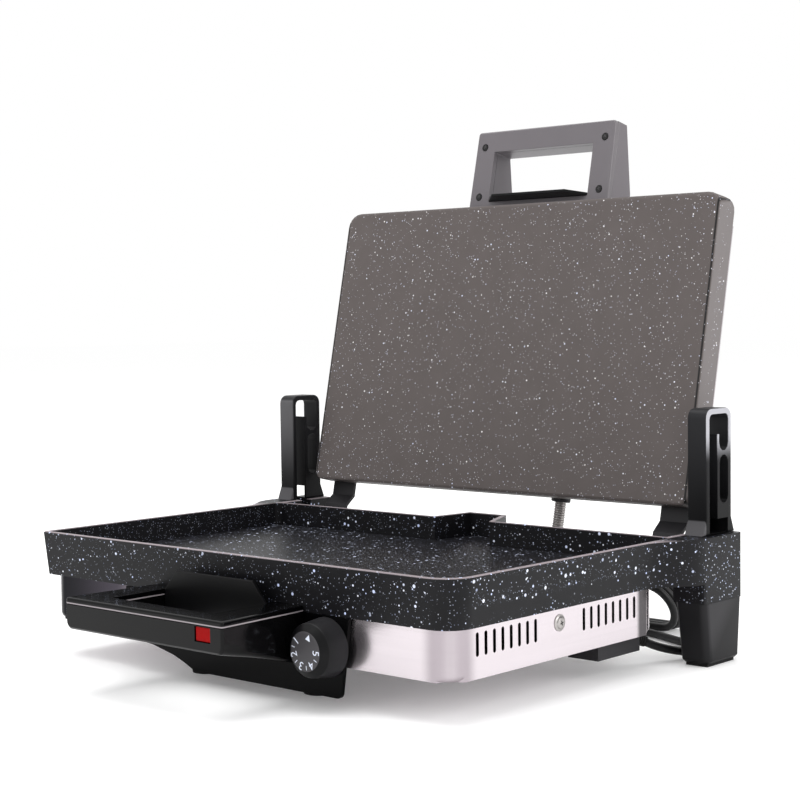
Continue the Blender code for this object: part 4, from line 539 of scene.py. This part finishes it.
def plate_granite():
    """Grey-brown coating with a painted highlight on the plate's sides, and a dark line of painted
    reflection beside each of them.
    """
    dark, light, side = (0.084, 0.071, 0.068), (0.105, 0.090, 0.087), (0.165, 0.150, 0.149)
    roughness = 0.5
    work = Nodes("plate_granite", dark, roughness, specular=0.22)
    ground = work.mix(work.noise(scale=55, detail=4), dark, light)
    across = work.math("ABSOLUTE", work.axis("X"))
    inset = work.math("SUBTRACT", PLATE_HALF, across)
    # Painted highlight on the plate's sides, which face the light
    ground = work.mix(work.fall(inset, 0.0, 0.0012), ground, side)
    # Painted dark reflection of the rounded edge: a dark line beside each side
    painted_line = work.band(inset, (0.0010, 0.0016), (0.0024, 0.0032))
    ground = work.mix(painted_line, ground, (0.010, 0.009, 0.009))
    layers = ((330, 0.25, 0.50, 1.2), (620, 0.30, 0.60, 0.9))
    return granite(work, ground, (0.95, 0.92, 0.90), roughness, layers)


def moulded(name, colour, roughness, specular, grain=0.06, scale=1800, edge=None):
    """Moulded plastic or rubber with a fine skin, a faint unevenness of tone and, with an edge colour, a
    painted highlight on rounded edges.
    """
    work = Nodes(name, colour, roughness, specular)
    lighter = tuple(min(1.0, part * 1.25 + 0.0008) for part in colour)
    ground = work.mix(work.noise(scale=22, detail=3), colour, lighter)
    work.colour(work.edges(ground, edge) if edge else ground)
    skin = work.noise(scale, detail=2)
    work.rough(skin, middle=roughness, spread=0.1)
    work.bump(skin, strength=grain, distance=0.0001)
    return work.material


def drawn_metal(name, colour, roughness, stretch):
    """Drawn or plated metal with fine lines or grains."""
    work = Nodes(name, colour, roughness, metallic=1.0)
    lines = work.noise(scale=1.0, detail=4, place=work.stretched(stretch))
    work.colour(work.mix(lines, colour, tuple(part * 0.9 for part in colour)))
    work.rough(lines, middle=roughness, spread=0.12)
    work.bump(lines, strength=0.05, distance=0.00008)
    return work.material


def red_lens():
    work = Nodes("red_lens", (0.36, 0.002, 0.002), 0.2, specular=0.05)
    work.colour(work.mix(work.noise(scale=300, detail=2), (0.24, 0.0010, 0.0010), (0.30, 0.0015, 0.0015)))
    return work.material


def seam_highlight_gloss():
    """Glossy black with a painted highlight: a bright line along the upper shell's lower edge."""
    black, painted_highlight = (0.0012, 0.0012, 0.0014), (0.30, 0.27, 0.285)
    work = Nodes("seam_highlight_gloss", black, 0.12, specular=0.16)
    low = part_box("front_handle_upper_shell")[0][2]
    # Painted highlight along the upper shell's lower edge
    painted_line = work.band(work.axis("Z"), (low - 0.0002, low + 0.0002), (low + 0.0007, low + 0.0012))
    work.colour(work.mix(painted_line, black, painted_highlight))
    skin = work.noise(scale=400, detail=2)
    work.rough(skin, middle=0.13, spread=0.06)
    return work.material


def post_plastic():
    """Satin black that is lit at the top of the posts, on their outer frame and on the flared foot."""
    black = (0.0030, 0.0030, 0.0035)
    work = Nodes("post_plastic", black, 0.36, specular=0.10)
    x, y, z = (work.axis(name) for name in "XYZ")
    ground = work.mix(work.ramp(z, 0.100, 0.187), black, (0.020, 0.020, 0.022))
    outer_frame = work.both(work.ramp(x, 0.2180, 0.2184), work.ramp(z, 0.148, 0.170))
    ground = work.mix(outer_frame, ground, (0.40, 0.40, 0.43))
    left_post = work.both(work.fall(x, -0.01, 0.01), work.ramp(z, 0.105, 0.180))
    front_face = work.fall(y, 0.1108, 0.1120)
    ground = work.mix(work.both(left_post, front_face), ground, (0.10, 0.098, 0.103))
    foot = work.both(work.fall(y, 0.1098, 0.1104), work.fall(z, 0.1075, 0.1085))
    work.colour(work.mix(foot, ground, (0.085, 0.083, 0.088)))
    skin = work.noise(scale=1800, detail=2)
    work.rough(skin, middle=0.36, spread=0.1)
    work.bump(skin, strength=0.06, distance=0.0001)
    return work.material


def pan_steel():
    """Rolled steel with painted dark reflections at the front's left end and at two corners."""
    pale, grey = (0.66, 0.605, 0.635), (0.60, 0.55, 0.575)
    work = Nodes("rolled_steel", pale, 0.22, metallic=1.0)
    lines = work.noise(scale=1.0, detail=4, place=work.stretched((4, 4, 420)))
    x, y = work.axis("X"), work.axis("Y")
    ground = work.mix(lines, pale, grey)
    # Painted dark reflections at the front right corner and near the rear right corner
    front_corner = work.band(work.math("SUBTRACT", x, y), (0.326, 0.338), (0.342, 0.348), 0.35)
    ground = work.mix(work.math("MULTIPLY", front_corner, 0.75), ground, (0.30, 0.26, 0.285))
    rear_corner = work.both(work.band(y, (0.0485, 0.0540), (0.0610, 0.0625)), work.ramp(x, 0.15, 0.19))
    ground = work.mix(work.math("MULTIPLY", rear_corner, 0.9), ground, (0.035, 0.033, 0.035))
    # Painted dark reflection at the left end of the front, with painted shade that darkens it further left
    left_end = work.both(work.fall(x, -0.125, -0.055), work.fall(y, -0.1515, -0.1500))
    shade = work.mix(work.ramp(x, -0.19, -0.10), (0.006, 0.006, 0.008), (0.060, 0.052, 0.066))
    work.colour(work.mix(left_end, ground, shade))
    work.rough(lines, middle=0.22, spread=0.10)
    work.bump(lines, strength=0.02, distance=0.00008)
    return work.material


TRAY = tray_granite()
PLATE = plate_granite()
PLATED = drawn_metal("plated_steel", (0.42, 0.40, 0.39), 0.3, (300, 300, 300))
ELEMENT = drawn_metal("element_steel", (0.22, 0.20, 0.18), 0.45, (90, 90, 90))
GLOSS = moulded("gloss_plastic", (0.0012, 0.0012, 0.0014), 0.12, 0.16, grain=0.003, scale=400)
SATIN = moulded("satin_plastic", (0.0028, 0.0028, 0.0033), 0.38, 0.14, edge=(0.035, 0.034, 0.037))
PANEL = moulded("panel_plastic", (0.0010, 0.0010, 0.0012), 0.22, 0.06, grain=0.01)
GUARD = moulded("guard_plastic", (0.0020, 0.0020, 0.0023), 0.30, 0.16, grain=0.02)
HANDLE = moulded("handle_plastic", (0.105, 0.095, 0.104), 0.36, 0.5, grain=0.05, edge=(0.16, 0.15, 0.155))
RUBBER = moulded("rubber", (0.008, 0.008, 0.008), 0.7, 0.2, grain=0.15)
CORD = moulded("cord_pvc", (0.0055, 0.0055, 0.0060), 0.4, 0.3, grain=0.08)
CERAMIC = moulded("ceramic", (0.72, 0.69, 0.62), 0.55, 0.4, grain=0.1)
BLACK_OXIDE_AND_RECESS_SHADE = moulded("black_oxide_and_recess_shade", (0.004, 0.004, 0.004), 0.35, 0.3, grain=0.1)
RECESS = moulded("recess_black", (0.05, 0.048, 0.05), 0.5, 0.2)
LENS = red_lens()
KNOB_FACE = moulded("knob_face", (0.045, 0.043, 0.047), 0.45, 0.3, grain=0.1)
PRINT = moulded("dial_print", (0.66, 0.70, 0.80), 0.5, 0.3)
POST = post_plastic()
GLOSS_WITH_SEAM_HIGHLIGHT = seam_highlight_gloss()
STEEL = pan_steel()


# Mains cord, its strain relief, hank and tie

def relief_point(share):
    """Point of the cord's middle in the strain relief, which bends down and aside as an arc."""
    angle = math.radians(RELIEF_SWEEP * share)
    droop = RELIEF_BEND * (1 - math.cos(angle))
    back = FIT_GAP + RELIEF_BEND * math.sin(angle)
    return ENTRY + Vector((droop * RELIEF_ASIDE_SHARE, back, RELIEF_RISE - droop))


def hank_point(turn):
    """Point of the hank's flat coil, whose turns are two straight runs and two folds, leaning to the pan."""
    fold = math.pi * HANK_FOLD_RADIUS
    along = (turn % 1) * 2 * (HANK_RUN + fold)
    if along < HANK_RUN:
        x, z = HANK_RUN - along, -HANK_FOLD_RADIUS
    elif along < HANK_RUN + fold:
        angle = -math.pi / 2 - (along - HANK_RUN) / HANK_FOLD_RADIUS
        x, z = HANK_FOLD_RADIUS * math.cos(angle), HANK_FOLD_RADIUS * math.sin(angle)
    elif along < 2 * HANK_RUN + fold:
        x, z = along - HANK_RUN - fold, HANK_FOLD_RADIUS
    else:
        angle = math.pi / 2 - (along - 2 * HANK_RUN - fold) / HANK_FOLD_RADIUS
        x, z = HANK_RUN + HANK_FOLD_RADIUS * math.cos(angle), HANK_FOLD_RADIUS * math.sin(angle)
    return ENTRY + HANK_PLACE + Vector((x, HANK_PITCH * turn - z * HANK_LEAN, z))


def cord_route():
    turns = HANK_LAST_TURN - HANK_FIRST_TURN
    count = round(turns * HANK_STEPS)
    hank = [hank_point(HANK_FIRST_TURN + turns * index / count) for index in range(count + 1)]
    start = relief_point(1)
    outwards = (start - relief_point(0.95)).normalized() * CORD_DIAMETER
    inwards = (hank[1] - hank[0]).normalized() * CORD_DIAMETER
    leave = (hank[-1] - hank[-2]).normalized() * CORD_DIAMETER
    supply = [start, start + outwards]
    supply += [ENTRY + Vector(point) for point in CORD_TO_HANK]
    supply += [hank[0] - inwards, hank[0]]
    tail = [hank[-1], hank[-1] + leave]
    tail += [ENTRY + Vector(point) for point in HANK_TO_PLUG]
    tail.append(ENTRY + PLUG_NECK)
    return smooth_route(supply, CORD_STEP) + hank[1:] + smooth_route(tail, CORD_STEP)[1:]


def mains_cord(route):
    curve = bpy.data.curves.new("mains_cord", "CURVE")
    curve.dimensions = "3D"
    curve.bevel_depth = CORD_RADIUS
    curve.bevel_resolution = 6
    curve.use_fill_caps = True
    spline = curve.splines.new("POLY")
    spline.points.add(len(route) - 1)
    for spot, point in zip(route, spline.points):
        point.co = (*spot, 1)
    spline.use_smooth = True
    cord = bpy.data.objects.new("mains_cord", curve)
    bpy.context.scene.collection.objects.link(cord)
    curve.materials.append(CORD)
    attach(cord, "base")
    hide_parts("power_cord_run", "cord_hank", "power_cord_tail")
    return cord


def strain_relief():
    """Sleeve with grooves across it that lets the cord bend."""
    route = []
    radii = []
    for index in range(RELIEF_STEPS + 1):
        share = index / RELIEF_STEPS
        radius = RELIEF_ROOT_RADIUS + (RELIEF_TIP_RADIUS - RELIEF_ROOT_RADIUS) * share
        groove = GROOVED_FROM < share < GROOVED_TO and index % GROOVE_PITCH >= RIDGE_STEPS
        route.append(relief_point(share))
        radii.append(radius * (GROOVE_SHARE if groove else 1.0))
    piece = link("strain_relief_sleeve", swept(route, radii, sides=32), RUBBER)
    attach(piece, "base")
    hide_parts("strain_relief")


def hank_tie():
    """Flat band wound once round the hank at the middle of its runs, pressed flat by the table."""
    middle = ENTRY + HANK_PLACE + Vector((HANK_RUN / 2, HANK_PITCH * TIE_MIDDLE_TURN, 0))
    lean = Vector((0, -HANK_LEAN, 1)).normalized()
    back = Vector((0, 1, 0))
    tall = HANK_FOLD_RADIUS * math.hypot(1, HANK_LEAN) + CORD_RADIUS + TIE_PLAY
    wide = HANK_PITCH * TIE_HALF_TURNS + CORD_RADIUS + TIE_PLAY
    half = TIE_WIDTH / 2
    bm = bmesh.new()
    rings = []
    for step in range(TIE_STEPS):
        angle = 2 * math.pi * step / TIE_STEPS
        aside, rise = math.cos(angle), math.sin(angle)
        squeeze = (abs(aside) ** TIE_POWER + abs(rise) ** TIE_POWER) ** (-1 / TIE_POWER)
        ring = []
        for reach, x in ((0, -half), (0, half), (TIE_THICKNESS, half), (TIE_THICKNESS, -half)):
            spot = middle + back * (wide + reach) * aside * squeeze + lean * (tall + reach) * rise * squeeze
            spot.z = max(spot.z, TABLE_GAP + TIE_THICKNESS - reach)
            ring.append(bm.verts.new(spot + Vector((x, 0, 0))))
        rings.append(ring)
    join_rings(bm, rings + rings[:1])
    bmesh.ops.recalc_face_normals(bm, faces=bm.faces)
    tie = link("hank_tie", mesh_of(bm, "hank_tie"), SATIN)
    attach(tie, "base")
    return tie


strain_relief()
tie = hank_tie()
route = cord_route()
cord = mains_cord(route)


# Conduit from the pan to the lid, in two halves: base to hinge pins, and hinge pins to lid

def conduit():
    first = Vector((CONDUIT_X, PAN_REAR + GLAND_REACH, CONDUIT_Z))
    last = LID_PLACE @ Vector((CONDUIT_X, COVER_LOW - GLAND_REACH, -CONDUIT_BEHIND_FACE))
    points = [first] + [HINGE + Vector((CONDUIT_X, back, rise)) for back, rise in CONDUIT_BENDS] + [last]
    count = CONDUIT_RIBS * len(RIB_SHARES)
    route = evenly(smooth_route(points, CONDUIT_STEP), count + 1)
    radii = [CONDUIT_RADIUS * RIB_SHARES[index % len(RIB_SHARES)] for index in range(count + 1)]
    half = count // 2
    lower = link("conduit_lower_half", swept(route[:half + 1], radii[:half + 1], sides=20), PLATED)
    upper = link("conduit_upper_half", swept(route[half:], radii[half:], sides=20), PLATED)
    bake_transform(lower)
    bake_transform(upper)
    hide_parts("flexible_conduit")


conduit()


# Finishes of the CAD pieces

def dress(material, names, edge=0.0):
    """Gives CAD nodes a material, even normals and, with an edge, softened corners."""
    for name in names:
        obj = NODES[name]
        for slot in obj.material_slots:
            slot.material = material
        if not obj.material_slots:
            obj.data.materials.append(material)
        if "custom_normal" in obj.data.attributes:
            obj.data.attributes.remove(obj.data.attributes["custom_normal"])
        obj.data.shade_smooth()
        weld = obj.modifiers.new("weld", "WELD")
        weld.merge_threshold = WELD_DISTANCE
        if edge:
            soft = obj.modifiers.new("soft_edges", "BEVEL")
            soft.width = edge
            soft.segments = EDGE_SEGMENTS
            soft.limit_method = "ANGLE"
            soft.angle_limit = math.radians(CRISP_ANGLE)
        split = obj.modifiers.new("crisp_edges", "EDGE_SPLIT")
        split.split_angle = math.radians(CRISP_ANGLE)
        even = obj.modifiers.new("even_normals", "WEIGHTED_NORMAL")
        even.keep_sharp = True
        even.weight = LARGE_FACE_WEIGHT


dress(TRAY, ["cooking_tray"])
dress(PLATE, ["upper_plate"])
dress(STEEL, ["base_pan", "lid_cover"])
dress(GLOSS_WITH_SEAM_HIGHLIGHT, ["front_handle_upper_shell"], FINE_EDGE)
dress(GLOSS, ["front_handle_lower_shell"], FINE_EDGE)
dress(PANEL, ["control_panel"], FINE_EDGE)
dress(GUARD, ["front_finger_guard", "lid_finger_guard"], GUARD_EDGE)
dress(POST, ["right_hinge_post", "left_hinge_post"], FINE_EDGE)
dress(SATIN, ["right_leg", "left_leg"], FINE_EDGE)
dress(SATIN, ["right_hinge_arm", "left_hinge_arm", "cord_entry_box", "conduit_grommet", "lid_conduit_gland"])
dress(SATIN, ["plug"])
dress(HANDLE, ["lid_handle_face_shell", "lid_handle_back_shell"], FINE_EDGE)
dress(RUBBER, ["right_rear_foot_pad", "left_rear_foot_pad", "right_front_foot", "left_front_foot"])
dress(CERAMIC, ["thermostat", "terminal_block", "indicator_lamp"])
dress(ELEMENT, ["lower_heating_element", "upper_heating_element"])
dress(PLATED, ["thermal_fuse", "thermostat_shaft", "right_hinge_pin", "left_hinge_pin"])
dress(PLATED, ["right_side_screw", "left_side_screw"])
dress(PLATED, [f"{part}_screw_{number}" for part in ("front_handle", "post", "hinge_arm", "handle_foot")
               for number in (1, 2)])
dress(BLACK_OXIDE_AND_RECESS_SHADE, [f"lid_handle_screw_{number}" for number in range(1, 5)])
dress(LENS, ["indicator_lens"], LENS_EDGE)


# Knob with its dial

def towards_user(place, turn=0.0):
    """Place of a piece that is made facing +Z and turned clockwise, as the user sees it."""
    return Matrix.Translation(place) @ Matrix.Rotation(turn, 4, "Y") @ Matrix.Rotation(math.pi / 2, 4, "X")


def knob():
    mesh = turned(KNOB_PROFILE, sides=96)
    piece = link("knob_cap", mesh, SATIN, towards_user(KNOB_PLACE))
    mesh.materials.append(KNOB_FACE)
    for face in mesh.polygons:
        if face.normal.z > KNOB_FACE_LEVEL and face.center.z > KNOB_FACE_FROM:
            face.material_index = 1
    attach(piece, "knob")
    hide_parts("control_knob")


def digit_mesh(name, text):
    curve = bpy.data.curves.new(name, "FONT")
    curve.body = text
    curve.size = DIGIT_SIZE
    curve.align_x = "CENTER"
    curve.align_y = "CENTER"
    curve.extrude = PRINT_THICKNESS / 2
    shape = bpy.data.objects.new(name + "_shape", curve)
    bpy.context.scene.collection.objects.link(shape)
    bpy.context.view_layer.update()
    mesh = bpy.data.meshes.new_from_object(shape.evaluated_get(bpy.context.evaluated_depsgraph_get()))
    bpy.data.objects.remove(shape, do_unlink=True)
    return mesh


def pointer_mesh(name):
    bm = bmesh.new()
    heights = (PRINT_THICKNESS / 2, -PRINT_THICKNESS / 2)
    top, low = ([bm.verts.new((*corner, height)) for corner in POINTER_CORNERS] for height in heights)
    bm.faces.new(top)
    bm.faces.new(low[::-1])
    join_rings(bm, [low, top])
    return mesh_of(bm, name)


def dial_mark(mesh, name, angle, radius):
    """A printed mark at an angle clockwise from the top of the knob's face."""
    turn = math.radians(angle)
    spot = KNOB_PLACE + Vector((math.sin(turn) * radius, -PRINT_DISTANCE, math.cos(turn) * radius))
    piece = link(name, mesh, PRINT, towards_user(spot, turn), smooth=False)
    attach(piece, "knob")


def dial():
    for index, text in enumerate("54321"):
        name = "dial_" + text
        dial_mark(digit_mesh(name, text), name, FIRST_DIGIT_ANGLE + DIGIT_ANGLE * index, DIGIT_RADIUS)
    for number in range(1, 5):
        name = f"dial_tick_{number}"
        angle = FIRST_DIGIT_ANGLE + DIGIT_ANGLE * (number - 0.5)
        dial_mark(boxes(name, TICK_SIZE), name, angle, TICK_RADIUS)
    dial_mark(pointer_mesh("dial_pointer"), "dial_pointer", POINTER_ANGLE, POINTER_RADIUS)


knob()
dial()


# Domed side screws with a washer and a cross recess

def side_screws():
    for side, node in ((1, "right_side_screw"), (-1, "left_side_screw")):
        low, high = (Vector(corner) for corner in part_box(node))
        root, tip = sorted((side * low.x, side * high.x))
        middle = (low + high) / 2
        radius = (high.z - low.z) / 2
        seat = tip - DOME_HEIGHT
        profile = [(0.0, root), (SCREW_RADIUS, root), (SCREW_RADIUS, seat - WASHER_THICKNESS),
                   (radius, seat - WASHER_THICKNESS), (radius, seat)]
        profile += [(radius * share, seat + height) for share, height in DOME]
        outwards = Matrix.Rotation(side * math.pi / 2, 4, "Y")
        place = Matrix.Translation((0, middle.y, middle.z)) @ outwards
        piece = link(node + "_head", turned(profile, sides=48), PLATED, place)
        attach(piece, "base")
        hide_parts(node)
        # The cross recess is a thin dark sheet on the dome: painted shade where the real head is cut in
        place = Matrix.Translation((side * (tip - RECESS_SINK), middle.y, middle.z)) @ outwards
        place = place @ Matrix.Rotation(math.radians(RECESS_TURN), 4, "Z")
        name = node + "_recess"
        recess = link(name, cross(name, *RECESS_SIZE), BLACK_OXIDE_AND_RECESS_SHADE, place, smooth=False)
        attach(recess, "base")


side_screws()


# Cross slots in the lid handle's screw heads

def cross_slots():
    for number in range(1, 5):
        low, high = (Vector(corner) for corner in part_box(f"lid_handle_screw_{number}"))
        middle = LID_PLACE.inverted() @ ((low + high) / 2)
        face = FIT_GAP - LID_HANDLE_FACE + SLOT_LIFT
        turn = Matrix.Rotation(math.radians(SLOT_TURN * number), 4, "Z")
        place = LID_PLACE @ Matrix.Translation((middle.x, middle.y, face)) @ turn
        name = f"cross_slot_{number}"
        piece = link(name, cross(name, *SLOT_SIZE), RECESS, place, smooth=False)
        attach(piece, "lid")


cross_slots()


# Floor, light and world

def paper_floor():
    """White floor that glows a little for the camera, so that it runs into the white backdrop."""
    bm = bmesh.new()
    bmesh.ops.create_grid(bm, x_segments=4, y_segments=4, size=FLOOR_REACH)
    mesh = mesh_of(bm, "floor")
    paper = Nodes("floor_paper", (0.96, 0.96, 0.96), 0.9, specular=0.0)
    paper.colour(paper.mix(paper.noise(scale=3, detail=2), (0.955, 0.955, 0.955), (0.965, 0.965, 0.965)))
    seen = paper.node("ShaderNodeLightPath").outputs["Is Camera Ray"]
    paper.shader.inputs["Emission Color"].default_value = WHITE
    paper.put(paper.math("MULTIPLY", seen, FLOOR_GLOW), paper.shader.inputs["Emission Strength"])
    floor = link("floor", mesh, paper.material, smooth=False)


def studio_world():
    """Pale light from all round, and plain white where the camera looks past the object."""
    world = bpy.data.worlds.new("studio")
    bpy.context.scene.world = world
    world.use_nodes = True
    tree = world.node_tree
    tree.nodes.clear()
    out = tree.nodes.new("ShaderNodeOutputWorld")
    mixed = tree.nodes.new("ShaderNodeMixShader")
    path = tree.nodes.new("ShaderNodeLightPath")
    tree.links.new(path.outputs["Is Camera Ray"], mixed.inputs[0])
    for index, strength in ((1, ROOM_STRENGTH), (2, BACKDROP_STRENGTH)):
        shade = tree.nodes.new("ShaderNodeBackground")
        shade.inputs["Color"].default_value = WHITE
        shade.inputs["Strength"].default_value = strength
        tree.links.new(shade.outputs[0], mixed.inputs[index])
    tree.links.new(mixed.outputs[0], out.inputs["Surface"])


def studio_lamps():
    for name, place, side, power in LAMPS:
        data = bpy.data.lights.new(name, "AREA")
        data.shape = "SQUARE"
        data.size = side
        data.energy = power
        lamp = bpy.data.objects.new(name, data)
        lamp.location = place
        lamp.rotation_euler = (LAMP_AIM - Vector(place)).to_track_quat("-Z", "Y").to_euler()
        bpy.context.scene.collection.objects.link(lamp)


paper_floor()
studio_world()
studio_lamps()
bpy.context.scene.view_settings.view_transform = "Standard"
